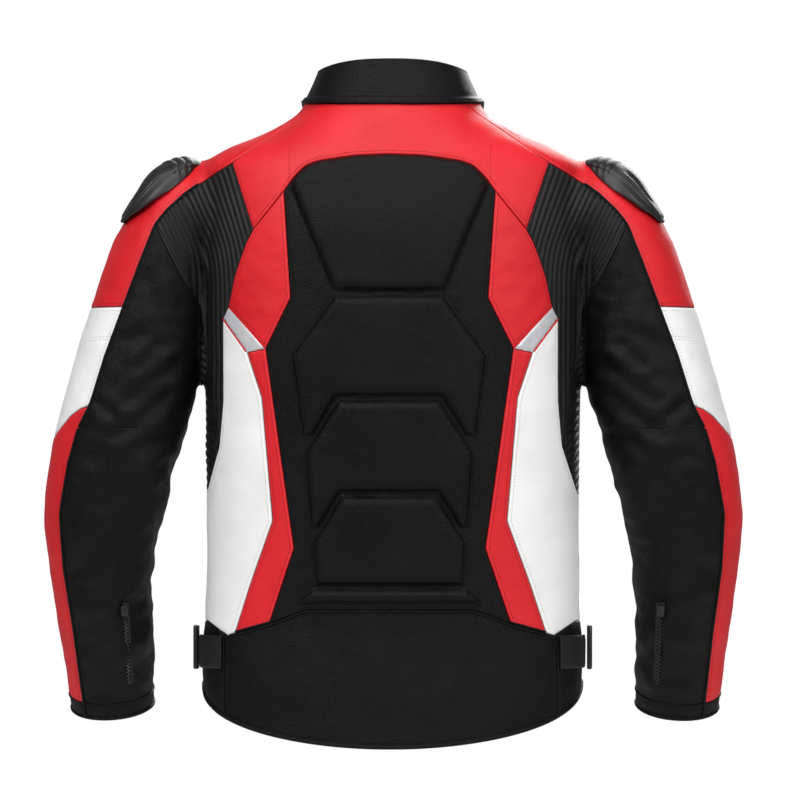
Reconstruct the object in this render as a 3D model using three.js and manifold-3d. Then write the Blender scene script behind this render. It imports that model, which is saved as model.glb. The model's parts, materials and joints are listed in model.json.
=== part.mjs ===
// Leather riding jacket, millimetres, +Z up.
// The wearer faces +Y, so the back of the jacket faces -Y and +X is the wearer's right.
// The origin is the centre of the neck opening, at the height of the collar seam at the back.
//
// The jacket is one hollow shell of leather, a torso joined to two sleeves. Thin seam walls cut
// the shell into its panels, and the zips, straps, protectors and pads are fitted to it.

import * as THREE from 'three';
import { mergeVertices } from 'three/addons/utils/BufferGeometryUtils.js';
import Module from 'manifold-3d';

const wasm = await Module();
wasm.setup();

// ---------------------------------------------------------------- driving dimensions

const CHEST_HALF_WIDTH = 188;      // side of the torso from the centre line
const BACK_LENGTH = 641;           // collar seam to hem, at the centre back
const HEM_SIDE_RISE = 62;          // the hem is this much higher at the sides
const HEM_FRONT_RISE = 80;         // and this much higher at the front
const NECK_HALF_WIDTH = 86;
const NECK_FRONT_DROP = 65;        // front of the neck below its back
const BACK_DEPTH = 132;            // deepest point of the back, behind the origin
const FRONT_TOP_DEPTH = 94;        // front edge at the top of the zip, ahead of the origin
const FRONT_LEAN = 0.054;          // the front edge leans out this much per millimetre down
const SLEEVE_REACH = 292;          // middle of the sleeve at the forearm, from the centre line
const SLEEVE_DROP = 603;           // middle of the cuff opening below the collar seam

const LEATHER = 4;                 // panel with its backing
const SEAM_GAP = 0.4;              // space left between neighbouring panels
const FIT = 0.35;                  // space between a fitted piece and its seat
const SOFT_FIT = 0.9;              // space behind a curved panel, for lining and zip tapes
const LINING = 1.6;
const BODY_CURVE = 2.5;            // exponent of the rounded-oval sections
const TORSO_SIDES = 32;
const SLEEVE_SIDES = 16;

const COLLAR_HEIGHT = 47;
const COLLAR_THICK = 5;

const ARM_PLANE = 191;             // upright plane where each sleeve begins
const ELBOW_DROP = 325;            // level plane where each forearm begins
const CUFF_HEIGHT = 15;

const ZIP_TOP = 108;               // drop of the top stop of the front zip
const ZIP_BOTTOM = 556;
const CHAIN_WIDTH = 6.4;
const TAPE_WIDTH = 24;
const TAPE_THICK = 1;
const PLACKET_HALF = 6;            // half the space between the two front edges
const SLIDER = { width: 10, length: 13, thick: 4 };
const PULL = { width: 7, length: 30, thick: 1.4, standoff: 1.4 };

const BAR = { width: 8, thick: 6 };            // short zips on pockets and cuffs
const SMALL_SLIDER = { width: 7, length: 11, thick: 3 };

const PROTECTOR = 11;              // thickness of the foam protectors

// ---------------------------------------------------------------- solids and meshes

function solidOf(geometry) {
  const bare = geometry.index ? geometry.clone() : geometry;
  bare.deleteAttribute('normal');
  bare.deleteAttribute('uv');
  const merged = mergeVertices(bare, 1e-4);
  return new wasm.Manifold(new wasm.Mesh({
    numProp: 3,
    vertProperties: new Float32Array(merged.attributes.position.array),
    triVerts: new Uint32Array(merged.index.array),
  }));
}

function geometryOf(solid) {
  const mesh = solid.getMesh();
  const geometry = new THREE.BufferGeometry();
  geometry.setAttribute('position', new THREE.BufferAttribute(new Float32Array(mesh.vertProperties), 3));
  geometry.setIndex(new THREE.BufferAttribute(new Uint32Array(mesh.triVerts), 1));
  return geometry;
}

function unite(solids) {
  return solids.reduce((sum, solid) => sum.add(solid));
}

// Mirrors a solid from the wearer's right to the left.
function mirrored(solid) {
  const geometry = geometryOf(solid);
  geometry.scale(-1, 1, 1);
  const index = geometry.index.array;
  for (let i = 0; i < index.length; i += 3) {
    const swap = index[i + 1];
    index[i + 1] = index[i + 2];
    index[i + 2] = swap;
  }
  return solidOf(geometry);
}

// A closed skin over rings of points, all with the same number of points.
// Seen from the far end, each ring runs anticlockwise.
function loft(rings) {
  const sides = rings[0].length;
  const position = [];
  const index = [];
  for (const ring of rings) {
    for (const point of ring) position.push(point.x, point.y, point.z);
  }
  for (let r = 0; r < rings.length - 1; r += 1) {
    for (let i = 0; i < sides; i += 1) {
      const a = r * sides + i;
      const b = r * sides + ((i + 1) % sides);
      index.push(a, b, b + sides);
      index.push(a, b + sides, a + sides);
    }
  }
  const closeEnd = (first, turn) => {
    const ring = rings[first];
    const centre = new THREE.Vector3();
    for (const point of ring) centre.addScaledVector(point, 1 / sides);
    const hub = position.length / 3;
    position.push(centre.x, centre.y, centre.z);
    for (let i = 0; i < sides; i += 1) {
      const a = first * sides + i;
      const b = first * sides + ((i + 1) % sides);
      if (turn) index.push(hub, a, b);
      else index.push(hub, b, a);
    }
  };
  closeEnd(0, false);
  closeEnd(rings.length - 1, true);
  const geometry = new THREE.BufferGeometry();
  geometry.setAttribute('position', new THREE.Float32BufferAttribute(position, 3));
  geometry.setIndex(index);
  return solidOf(geometry);
}

function box(width, depth, height, x, y, z) {
  return solidOf(new THREE.BoxGeometry(width, depth, height).translate(x, y, z));
}

// A box whose long side runs from one point to another, with its width along the given side.
function bar(from, to, width, thick, extra, side) {
  const along = to.clone().sub(from);
  const length = along.length();
  along.normalize();
  const out = new THREE.Vector3().crossVectors(side, along).normalize();
  const across = new THREE.Vector3().crossVectors(out, along);
  const place = new THREE.Matrix4().makeBasis(across, out, along);
  place.setPosition(from.clone().add(to).multiplyScalar(0.5));
  const geometry = new THREE.BoxGeometry(width + 2 * extra, thick + 2 * extra, length + 2 * extra);
  return solidOf(geometry.applyMatrix4(place));
}

// An outline in the XZ plane, pushed through from one Y to another.
function prism(outline, yFrom, yTo) {
  const shape = new THREE.Shape(outline.map(([x, z]) => new THREE.Vector2(x, z)));
  const geometry = new THREE.ExtrudeGeometry(shape, { depth: yTo - yFrom, bevelEnabled: false });
  return solidOf(geometry.rotateX(Math.PI / 2).translate(0, yTo, 0));
}

// ---------------------------------------------------------------- torso

// The line of the front edge, so that the zip runs straight.
function frontDepth(z) {
  return FRONT_TOP_DEPTH - FRONT_LEAN * (z + ZIP_TOP);
}

// Each ring: height at the centre back, half-width, back depth, rise at the side, rise at the
// front, and the front depth where the ring is above the straight front edge.
const torsoRings = [
  { z: 0, half: NECK_HALF_WIDTH, back: 80, side: 3, front: -NECK_FRONT_DROP, depth: 64 },
  { z: -14, half: 97, back: 90, side: 0, front: -62, depth: 76 },
  { z: -33, half: 132, back: 98, side: 0, front: -53, depth: 85 },
  { z: -46, half: 165, back: 104, side: 0, front: -47, depth: 91 },
  { z: -62, half: CHEST_HALF_WIDTH, back: 111, side: 0, front: -40 },
  { z: -90, half: CHEST_HALF_WIDTH + 1, back: 120, side: 0, front: -27 },
  { z: -128, half: CHEST_HALF_WIDTH + 1, back: 128, side: 0, front: -12 },
  { z: -185, half: CHEST_HALF_WIDTH, back: BACK_DEPTH, side: 0, front: 0 },
  { z: -255, half: CHEST_HALF_WIDTH, back: BACK_DEPTH - 1, side: 0, front: 0 },
  { z: -330, half: CHEST_HALF_WIDTH - 1, back: BACK_DEPTH - 6, side: 0, front: 0 },
  { z: -420, half: CHEST_HALF_WIDTH - 2, back: BACK_DEPTH - 14, side: 0, front: 0 },
  { z: -505, half: CHEST_HALF_WIDTH - 1, back: BACK_DEPTH - 20, side: 0, front: 0 },
  { z: -550, half: CHEST_HALF_WIDTH + 1, back: BACK_DEPTH - 19, side: 14, front: 16 },
  { z: 60 - BACK_LENGTH, half: CHEST_HALF_WIDTH + 2, back: BACK_DEPTH - 18, side: 30, front: 36 },
  { z: -BACK_LENGTH, half: CHEST_HALF_WIDTH + 1, back: BACK_DEPTH - 18, side: HEM_SIDE_RISE, front: HEM_FRONT_RISE },
];

// The shoulders slope gently, so an inner skin is also lowered by this share of its inset.
const LOWERING = 0.8;

function torsoRing(ring, grow, lift) {
  const depth = ring.depth ?? frontDepth(ring.z + ring.front);
  const power = 2 / BODY_CURVE;
  const points = [];
  for (let i = 0; i < TORSO_SIDES; i += 1) {
    const angle = (2 * Math.PI * i) / TORSO_SIDES;
    const across = Math.sin(angle);
    const ahead = -Math.cos(angle);
    const y = Math.sign(ahead) * Math.abs(ahead) ** power * ((ahead > 0 ? depth : ring.back) + grow);
    const share = Math.min(1, Math.abs(y) / ((ahead > 0 ? depth : ring.back) + grow));
    const rise = ahead > 0
      ? ring.side + (ring.front - ring.side) * share ** 1.5
      : ring.side * (1 - share) ** 0.8;
    points.push(new THREE.Vector3(
      Math.sign(across) * Math.abs(across) ** power * (ring.half + grow),
      y,
      ring.z + rise + LOWERING * grow + lift,
    ));
  }
  return points;
}

// The torso as a solid, grown outwards by a distance. A pass-through one runs on past both ends.
function torso(grow, through) {
  const rings = torsoRings.map((ring) => torsoRing(ring, grow, 0)).reverse();
  if (through) {
    rings.unshift(torsoRing(torsoRings[torsoRings.length - 1], grow, -40));
    rings.push(torsoRing(torsoRings[0], grow, 40));
  }
  return loft(rings);
}

// Place on the torso's skin ahead of or behind a point of the XZ plane.
function torsoDepth(x, z, front) {
  let upper = torsoRings[0];
  let lower = torsoRings[torsoRings.length - 1];
  for (const ring of torsoRings) {
    if (ring.z >= z && ring.z < upper.z) upper = ring;
    if (ring.z <= z && ring.z > lower.z) lower = ring;
  }
  const share = upper === lower ? 0 : (upper.z - z) / (upper.z - lower.z);
  const half = THREE.MathUtils.lerp(upper.half, lower.half, share);
  const back = THREE.MathUtils.lerp(upper.back, lower.back, share);
  const round = (1 - Math.min(1, Math.abs(x) / half) ** BODY_CURVE) ** (1 / BODY_CURVE);
  return front ? frontDepth(z) * round : -back * round;
}

// ---------------------------------------------------------------- sleeves

// Stations down the wearer's right sleeve: the middle, the radius seen from behind, the radius
// front to back. The sleeve hangs out from the shoulder and its forearm bends forward.
const sleeveStations = [
  { x: 201, y: 2, z: -68, r: 9, deep: 26 },
  { x: 208, y: 2, z: -84, r: 23, deep: 44 },
  { x: 217, y: 2, z: -108, r: 38, deep: 57 },
  { x: 228, y: 1, z: -148, r: 52, deep: 64 },
  { x: 240, y: 0, z: -200, r: 58, deep: 66 },
  { x: 250, y: -2, z: -245, r: 62, deep: 65 },
  { x: 262, y: -3, z: -290, r: 63, deep: 64 },
  { x: 272, y: -3, z: -ELBOW_DROP, r: 63, deep: 63 },
  { x: 281, y: -1, z: -360, r: 62, deep: 61 },
  { x: SLEEVE_REACH - 1, y: 9, z: -415, r: 59, deep: 58 },
  { x: SLEEVE_REACH, y: 28, z: -480, r: 51, deep: 51 },
  { x: SLEEVE_REACH - 4, y: 50, z: -543, r: 46, deep: 46 },
  { x: SLEEVE_REACH - 8, y: 72, z: -SLEEVE_DROP, r: 42, deep: 41 },
];

function sleeveTangent(i) {
  const before = sleeveStations[Math.max(0, i - 1)];
  const after = sleeveStations[Math.min(sleeveStations.length - 1, i + 1)];
  return new THREE.Vector3(after.x - before.x, after.y - before.y, after.z - before.z).normalize();
}

// A point on the sleeve's skin. Angle 0 is the outer side and 90 degrees is the back.
function sleeveSkin(i, angle, grow, along) {
  const station = sleeveStations[i];
  const tangent = sleeveTangent(i);
  const back = new THREE.Vector3(0, -1, 0).addScaledVector(tangent, tangent.y).normalize();
  const outer = new THREE.Vector3().crossVectors(back, tangent);
  return new THREE.Vector3(station.x, station.y, station.z)
    .addScaledVector(outer, Math.cos(angle) * (station.r + grow))
    .addScaledVector(back, Math.sin(angle) * (station.deep + grow))
    .addScaledVector(tangent, along);
}

function sleeve(grow, through) {
  const last = sleeveStations.length - 1;
  const ring = (i, along) => {
    const points = [];
    for (let k = 0; k < SLEEVE_SIDES; k += 1) {
      points.push(sleeveSkin(i, (2 * Math.PI * k) / SLEEVE_SIDES, grow, along));
    }
    return points;
  };
  const rings = sleeveStations.map((station, i) => ring(i, i === 0 ? -grow : 0));
  if (through) rings.push(ring(last, 30));
  return loft(rings);
}

// A point on the sleeve's skin between two stations, at a drop below the collar seam.
function sleevePoint(drop, angle, grow) {
  let i = 0;
  while (i < sleeveStations.length - 2 && -sleeveStations[i + 1].z < drop) i += 1;
  const above = sleeveStations[i];
  const below = sleeveStations[i + 1];
  const share = (drop + above.z) / (above.z - below.z);
  return sleeveSkin(i, angle, grow, 0).lerp(sleeveSkin(i + 1, angle, grow, 0), share);
}

// ---------------------------------------------------------------- shell and seams

const rightSleeve = sleeve(0, false);
const outside = torso(0, false).add(rightSleeve).add(mirrored(rightSleeve));
const rightBore = sleeve(-LEATHER, true);
const armHole = box(24, 40, 90, ARM_PLANE - 3, 0, -170);
const inside = unite([torso(-LEATHER, true), rightBore, mirrored(rightBore), armHole, mirrored(armHole)]);
const shell = outside.subtract(inside);

const FAR = 400;                   // further than the jacket reaches from its middle

// A seam wall along a line in the XZ plane, between two depths.
function seamWall(line, yFrom, yTo) {
  const walls = [];
  for (let i = 0; i < line.length - 1; i += 1) {
    const [x1, z1] = line[i];
    const [x2, z2] = line[i + 1];
    const length = Math.hypot(x2 - x1, z2 - z1) + SEAM_GAP;
    const geometry = new THREE.BoxGeometry(length, yTo - yFrom, SEAM_GAP);
    geometry.rotateY(-Math.atan2(z2 - z1, x2 - x1));
    geometry.translate((x1 + x2) / 2, (yFrom + yTo) / 2, (z1 + z2) / 2);
    walls.push(solidOf(geometry));
  }
  return unite(walls);
}

const backSeam = (...line) => seamWall(line, -FAR, SEAM_GAP);
const frontSeam = (...line) => seamWall(line, 0, FAR);
const throughSeam = (...line) => seamWall(line, -FAR, FAR);

// Corners where several seams meet, on the wearer's right.
const NECK_START = [60, 12];           // inside the neck opening
const NECK_POINT = [82, -9];           // shoulder seam meets the collar
const YOKE_CORNER = [158, -61];        // yoke, shoulder and stretch panel
const BLADE_TOP = [105, -90];          // yoke, blade and centre panel
const BLADE_SIDE = [136, -128];        // yoke, blade and stretch panel
const BLADE_END = [161, -204];         // blade, reflective insert and stretch panel
const BLADE_TIP = [123, -246];         // blade, insert, stripe and centre panel
const INSERT_END = [167, -216];
const STRIPE_TOP = [142, -250];
const ARM_TOP = [ARM_PLANE, -81];      // stretch panel and shoulder at the arm plane
const STRETCH_END = [ARM_PLANE, -408];
const BAND_CORNER = [120, -518];       // stripe and waistband
const BAND_SIDE = [155, -528];
const FRONT_CORNER = [120, -150];      // front yoke and front side seam
const BAND_LEVEL = -517;               // top of the waistband round the front
const SIDE_SEAM_END = -408;            // the side seam parts back from front down to here

const rightSeams = [
  backSeam(NECK_START, NECK_POINT, YOKE_CORNER, ARM_TOP),
  backSeam(YOKE_CORNER, BLADE_SIDE),
  backSeam(BLADE_SIDE, BLADE_TOP),
  backSeam([-1, -53], [71, -60], [83, -64.5], BLADE_TOP),
  backSeam(BLADE_TOP, [98, -196], BLADE_TIP),
  backSeam(BLADE_SIDE, [149, -157], [155, -175], BLADE_END),
  backSeam(BLADE_END, BLADE_TIP, STRIPE_TOP, INSERT_END, BLADE_END),
  backSeam(INSERT_END, [167, -298], [171, -343], STRETCH_END),
  backSeam(STRIPE_TOP, [127, -295], [116.5, -417], [139, -479], BAND_SIDE),
  backSeam(BLADE_TIP, [117, -289], [95, -444], BAND_CORNER),
  backSeam([-1, -504], [84, -504], BAND_CORNER, BAND_SIDE, [163, -531], [184, BAND_LEVEL], [ARM_PLANE + 4, BAND_LEVEL]),
  backSeam([166, -524], [166, -BACK_LENGTH]),
  frontSeam([0, BAND_LEVEL], [ARM_PLANE + 4, BAND_LEVEL]),
  frontSeam([0, -150], FRONT_CORNER, [ARM_PLANE + 1, -122]),
  frontSeam(FRONT_CORNER, [118, -300], [125, BAND_LEVEL]),
  prism([NECK_START, NECK_POINT, YOKE_CORNER, ARM_TOP, [ARM_PLANE, SIDE_SEAM_END], [60, SIDE_SEAM_END]], 0, SEAM_GAP),
  box(SEAM_GAP, 2 * FAR, 270, ARM_PLANE, 0, -170),
];

// The welt line down each sleeve, between its coloured outer side and its black inner side.
const WELT = [ARM_TOP, [206, -91], [224, -108], [235, -122], [250, -160], [265, -200], [285, -254],
  [300, -302], [312, -ELBOW_DROP], [322, -360], [331, -410], [328, -466], [320, -524], [307, -620]];
const WELT_AT_BAND = [266, -204];

const lastStation = sleeveStations.length - 1;
const wrist = sleeveSkin(lastStation, 0, -sleeveStations[lastStation].r, -CUFF_HEIGHT);
const wristTurn = new THREE.Quaternion().setFromUnitVectors(new THREE.Vector3(0, 0, -1), sleeveTangent(lastStation));

// Everything beyond the cuff seam, kept back from it by half a gap.
function beyondCuffSeam(gap) {
  const depth = 4 * CUFF_HEIGHT;
  const block = new THREE.BoxGeometry(130, 130, depth).translate(0, 0, -depth / 2 - gap);
  return solidOf(block.applyQuaternion(wristTurn).translate(wrist.x, wrist.y, wrist.z));
}

rightSeams.push(throughSeam(...WELT));
rightSeams.push(throughSeam(WELT_AT_BAND, [330, -212]));
rightSeams.push(box(220, 2 * FAR, SEAM_GAP, 300, 0, -ELBOW_DROP));

const rightSeamWalls = unite(rightSeams);
const placket = box(2 * PLACKET_HALF, FAR, 2 * FAR, 0, FAR / 2, -300);

// ---------------------------------------------------------------- short zips

const side = new THREE.Vector3(1, 0, 0);

const pocketTop = new THREE.Vector3(62, torsoDepth(62, -305, true), -305);
const pocketEnd = new THREE.Vector3(98, torsoDepth(98, -430, true), -430);
const CUFF_ZIP_ANGLE = 2.05;       // round the sleeve from its outer side, towards the body
const cuffTop = sleevePoint(486, CUFF_ZIP_ANGLE, 0);
const cuffEnd = sleevePoint(572, CUFF_ZIP_ANGLE, 0);

const pocketSlot = bar(pocketTop, pocketEnd, BAR.width, BAR.thick + 2 * LEATHER, FIT, side);
const cuffSlot = bar(cuffTop, cuffEnd, BAR.width, BAR.thick + 2 * LEATHER, FIT, side);

// A slider body resting on a bar at its upper end, on the outer side.
function sliderOn(from, to, outward) {
  const along = to.clone().sub(from).normalize();
  const out = new THREE.Vector3().crossVectors(side, along).normalize();
  if (out.y * outward < 0) out.negate();
  const seat = BAR.thick / 2 + FIT + SMALL_SLIDER.thick / 2;
  const a = from.clone().addScaledVector(out, seat).addScaledVector(along, 2);
  const b = a.clone().addScaledVector(along, SMALL_SLIDER.length);
  return bar(a, b, SMALL_SLIDER.width, SMALL_SLIDER.thick, 0, side);
}

// ---------------------------------------------------------------- panels out of the shell

const cuts = unite([rightSeamWalls, mirrored(rightSeamWalls), placket, pocketSlot, mirrored(pocketSlot),
  cuffSlot, mirrored(cuffSlot)]);
const cuffEnds = beyondCuffSeam(-SEAM_GAP / 2);
const cutPieces = shell.subtract(cuts).subtract(cuffEnds).subtract(mirrored(cuffEnds)).decompose();

// The cut piece that a line along Y passes through, on the back or the front.
function pieceAt(x, z, front) {
  const probe = box(1, FAR, 1, x, front ? FAR / 2 : -FAR / 2, z);
  const hits = cutPieces.filter((piece) => piece.intersect(probe).volume() > 0);
  return hits.sort((a, b) => b.volume() - a.volume())[0];
}

// ---------------------------------------------------------------- collar

function collarSolid() {
  const rings = [];
  const profile = [
    { z: FIT, out: 2 },
    { z: COLLAR_HEIGHT * 0.45, out: -6 },
    { z: COLLAR_HEIGHT, out: -11 },
  ];
  const neck = torsoRings[0];
  const ringAt = (level, inset) => torsoRing(neck, level.out - inset, 0).map((point) => {
    const back = Math.max(0, -point.y / neck.back);
    const ahead = Math.max(0, point.y / neck.depth);
    const height = 0.58 + 0.42 * Math.min(1, back) ** 2 + 0.25 * Math.min(1, ahead) ** 2;
    return new THREE.Vector3(point.x, point.y, point.z - LOWERING * (level.out - inset) + level.z * height);
  });
  for (const level of profile) rings.push(ringAt(level, 0));
  const outer = loft(rings);
  const innerRings = [];
  for (const level of profile) innerRings.push(ringAt(level, COLLAR_THICK));
  innerRings.unshift(innerRings[0].map((point) => point.clone().setZ(point.z - 20)));
  innerRings.push(innerRings[3].map((point) => point.clone().setZ(point.z + 20)));
  return outer.subtract(loft(innerRings)).subtract(placket).subtract(torso(FIT, false));
}

// ---------------------------------------------------------------- shoulder armour

// Seen from behind, the armour sits on the shoulder above this line.
const ARMOUR_EDGE = [[194, -66], [207, -76], [221, -87], [242, -101], [272, -119]];
const ARMOUR_HALF_DEPTH = 46;
const ARMOUR_FLANGE = 3;
const ARMOUR_RISE = { grow: 5, outward: 2, up: 1.5 };  // the dome stands proud of its flange

function armourOutline(edgeLift) {
  const edge = ARMOUR_EDGE.map(([x, z]) => [x, z + edgeLift]);
  return [[ARMOUR_EDGE[0][0], -30], ...edge, [310, -119 + edgeLift], [310, -30]];
}

function armourBase() {
  const skin = sleeve(FIT + ARMOUR_FLANGE, false).subtract(sleeve(FIT, false));
  return skin.intersect(prism(armourOutline(0), -ARMOUR_HALF_DEPTH, ARMOUR_HALF_DEPTH));
}

function armourCap() {
  const dome = sleeve(ARMOUR_RISE.grow, false).translate([ARMOUR_RISE.outward, 0, ARMOUR_RISE.up]);
  const outline = prism(armourOutline(3), 3 - ARMOUR_HALF_DEPTH, ARMOUR_HALF_DEPTH - 3);
  return dome.subtract(sleeve(2 * FIT + ARMOUR_FLANGE, false)).intersect(outline);
}

// ---------------------------------------------------------------- front zip

const zipTop = new THREE.Vector3(0, frontDepth(-ZIP_TOP), -ZIP_TOP);
const zipEnd = new THREE.Vector3(0, frontDepth(-ZIP_BOTTOM), -ZIP_BOTTOM);

// A block along the front zip: its width, its back and front relative to the leather's face,
// and its upper and lower end measured along the zip.
function zipBlock(width, back, front, upper, lower) {
  const along = zipEnd.clone().sub(zipTop).normalize();
  const out = new THREE.Vector3().crossVectors(side, along).normalize();
  if (out.y < 0) out.negate();
  const middle = (back + front) / 2;
  const a = zipTop.clone().addScaledVector(along, upper).addScaledVector(out, middle);
  const b = zipTop.clone().addScaledVector(along, lower).addScaledVector(out, middle);
  return bar(a, b, width, front - back, 0, side);
}

const zipLength = zipTop.distanceTo(zipEnd);
const tapeFace = -LEATHER - SOFT_FIT;
const zipChain = zipBlock(CHAIN_WIDTH, tapeFace - TAPE_THICK, 0, 0, zipLength);
const zipTape = zipBlock(TAPE_WIDTH, tapeFace - TAPE_THICK, tapeFace, 0, zipLength);

// ---------------------------------------------------------------- waist adjusters

const STRAP = { top: -540, bottom: -574, from: 150, thick: 2.2 };
const LOOP = { back: -8, front: 22, top: -536, bottom: -578, thick: 3.5, bar: 4, stand: 0.5 };

function waistStrap() {
  const band = torso(FIT + STRAP.thick, false).subtract(torso(FIT, true));
  const reach = box(80, 120, STRAP.top - STRAP.bottom, STRAP.from + 40, LOOP.back - FIT - 2.6 - 60, (STRAP.top + STRAP.bottom) / 2);
  return band.intersect(reach).decompose().sort((a, b) => b.volume() - a.volume())[0];
}

function waistLoop() {
  const height = LOOP.top - LOOP.bottom;
  const middle = (LOOP.top + LOOP.bottom) / 2;
  const x = CHEST_HALF_WIDTH + 2 + LOOP.stand + LOOP.thick / 2;
  const plate = box(LOOP.thick, LOOP.front - LOOP.back, height, x, (LOOP.front + LOOP.back) / 2, middle);
  const hole = box(LOOP.thick * 2, LOOP.front - LOOP.back - 2 * LOOP.bar, height - 2 * LOOP.bar, x, (LOOP.front + LOOP.back) / 2, middle);
  return plate.subtract(hole);
}

// ---------------------------------------------------------------- inside pieces

const liningFace = -LEATHER - SOFT_FIT;
const liningBack = liningFace - LINING;
const armHoles = sleeve(2, false).add(mirrored(sleeve(2, false)));

function liningSolid() {
  const wall = torso(liningFace, false).subtract(torso(liningBack, true));
  const opening = box(TAPE_WIDTH + 4, FAR, 3 * FAR, 0, FAR / 2, -300);
  return wall.subtract(armHoles).subtract(opening).decompose().sort((a, b) => b.volume() - a.volume())[0];
}

// Back protector: a shield between the shoulder blades and the waist.
const BACK_SHIELD = [[-70, -95], [70, -95], [88, -160], [80, -300], [62, -420], [40, -470], [-40, -470], [-62, -420],
  [-80, -300], [-88, -160]];

function backProtector() {
  const pad = torso(liningBack - FIT, true).subtract(torso(liningBack - FIT - PROTECTOR, true));
  return pad.intersect(prism(BACK_SHIELD, -FAR, 0));
}

function sleevePad(region) {
  const pad = sleeve(-LEATHER - FIT, true).subtract(sleeve(-LEATHER - FIT - PROTECTOR, true));
  return pad.intersect(region);
}

function hangerLoop() {
  const neck = torsoRings[1];
  const y = -(neck.back + liningBack) + 3.6;
  return solidOf(new THREE.TorusGeometry(11, 1.6, 8, 20).rotateX(Math.PI / 2).translate(0, y, neck.z - 14));
}

// The zip that joins the jacket to trousers: a flat tape on a stiff backing inside the hem.
const JOIN_ZIP = { width: 120, height: 18, thick: 3, z: -600 };

function joinZip() {
  const edge = torsoDepth(JOIN_ZIP.width / 2, JOIN_ZIP.z, false) - liningBack + FIT + 1;
  return box(JOIN_ZIP.width, JOIN_ZIP.thick, JOIN_ZIP.height, 0, edge + JOIN_ZIP.thick / 2, JOIN_ZIP.z);
}

// ---------------------------------------------------------------- collar tab

const TAB = { width: 34, height: 16, thick: 2.4, drop: 42 };
const COLLAR_LEAN = 0.375;         // the collar's front leans back this much per millimetre up
const TAB_FACE = 57.0;             // depth of the collar's front at the tab's upper edge

function collarTab() {
  const seat = TAB_FACE + TAB.thick / 2 + FIT;
  const upper = new THREE.Vector3(0, seat, -TAB.drop);
  const lower = new THREE.Vector3(0, seat + COLLAR_LEAN * TAB.height, -TAB.drop - TAB.height);
  return bar(upper, lower, TAB.width, TAB.thick, 0, side);
}

// ---------------------------------------------------------------- the model

const group = new THREE.Group();
group.name = 'riding_jacket';

function finish(colour, roughness, metalness) {
  return { color: colour, roughness, metalness };
}

const RED = finish(0xd8222e, 0.42, 0);
const WHITE = finish(0xe9e9e6, 0.45, 0);
const BLACK = finish(0x1b1b1e, 0.5, 0);
const STRETCH = finish(0x161618, 0.8, 0);
const SILVER = finish(0xc6c8ca, 0.35, 0.2);
const ARMOUR = finish(0x2b2b2e, 0.25, 0);
const METAL = finish(0x9a9ca0, 0.3, 1);
const MESH = finish(0x2a2a2c, 0.9, 0);
const FOAM = finish(0x3b3b3e, 0.85, 0);

function add(name, solid, look) {
  const mesh = new THREE.Mesh(geometryOf(solid), new THREE.MeshStandardMaterial(look));
  mesh.name = name;
  group.add(mesh);
}

function addPair(name, solid, look) {
  add(`${name}_R`, solid, look);
  add(`${name}_L`, mirrored(solid), look);
}

// Panels cut from the shell: a place on each, seen from behind, and whether it is on the front.
const singlePanels = [
  ['back_yoke', 0, -30, false, RED],
  ['back_centre_panel', 0, -300, false, BLACK],
  ['waistband_back', 0, -570, false, BLACK],
];
const pairedPanels = [
  ['back_blade', 120, -180, false, RED],
  ['side_stripe', 118, -350, false, RED],
  ['side_panel', 150, -420, false, WHITE],
  ['reflective_insert', 148, -233, false, SILVER],
  ['stretch_panel', 165, -150, false, STRETCH],
  ['front_shoulder', 100, -115, true, RED],
  ['front_panel', 60, -230, true, BLACK],
  ['waistband_front', 90, -538, true, BLACK],
  ['sleeve_cap', 262, -160, false, RED],
  ['sleeve_band', 305, -265, false, WHITE],
  ['sleeve_under', 240, -280, false, BLACK],
  ['forearm_outer', 340, -400, false, RED],
  ['forearm_under', 285, -450, false, BLACK],
];

for (const [name, x, z, front, look] of singlePanels) {
  add(name, pieceAt(x, z, front), look);
}
for (const [name, x, z, front, look] of pairedPanels) {
  addPair(name, pieceAt(x, z, front), look);
}
addPair('cuff', rightSleeve.subtract(rightBore).intersect(beyondCuffSeam(SEAM_GAP / 2)), BLACK);

add('collar', collarSolid(), BLACK);
add('collar_tab', collarTab(), BLACK);
add('lining', liningSolid(), MESH);
add('back_protector', backProtector(), FOAM);
add('hanger_loop', hangerLoop(), BLACK);
add('trouser_zip', joinZip(), BLACK);
add('front_zip', zipChain.add(zipTape), METAL);
add('zip_slider', zipBlock(SLIDER.width, FIT, FIT + SLIDER.thick, 2, 2 + SLIDER.length), METAL);
const pullBack = FIT + SLIDER.thick + PULL.standoff - PULL.thick / 2;
add('zip_pull', zipBlock(PULL.width, pullBack, pullBack + PULL.thick, 8, 8 + PULL.length), METAL);

addPair('shoulder_armour_base', armourBase(), ARMOUR);
addPair('shoulder_armour_cap', armourCap(), ARMOUR);
addPair('shoulder_pad', sleevePad(box(120, 84, 110, 262, 0, -150)), FOAM);
addPair('elbow_pad', sleevePad(box(84, 140, 90, 292, -70, -ELBOW_DROP - 52)), FOAM);
addPair('pocket_zip', bar(pocketTop, pocketEnd, BAR.width, BAR.thick, 0, side), METAL);
addPair('pocket_slider', sliderOn(pocketTop, pocketEnd, 1), METAL);
addPair('cuff_zip', bar(cuffTop, cuffEnd, BAR.width, BAR.thick, 0, side), METAL);
addPair('cuff_slider', sliderOn(cuffTop, cuffEnd, -1), METAL);
addPair('waist_strap', waistStrap(), BLACK);
addPair('waist_loop', waistLoop(), BLACK);

export default group;
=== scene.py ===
# %% [markdown]
# # A leather riding jacket, seen from behind
# The frame holds the jacket's working parts: torso, sleeves, forearms, zips and straps.
# This script dresses that frame. The leather is built as one smooth skin, cut along its
# seams into panels, and each panel is then given its own relief, stitches and finish.

# %% Set up the frame
import json
import math

import bmesh
import bpy
import numpy as np
from mathutils import Matrix, Vector, noise
from mathutils.bvhtree import BVHTree
from mathutils.kdtree import KDTree

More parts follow.
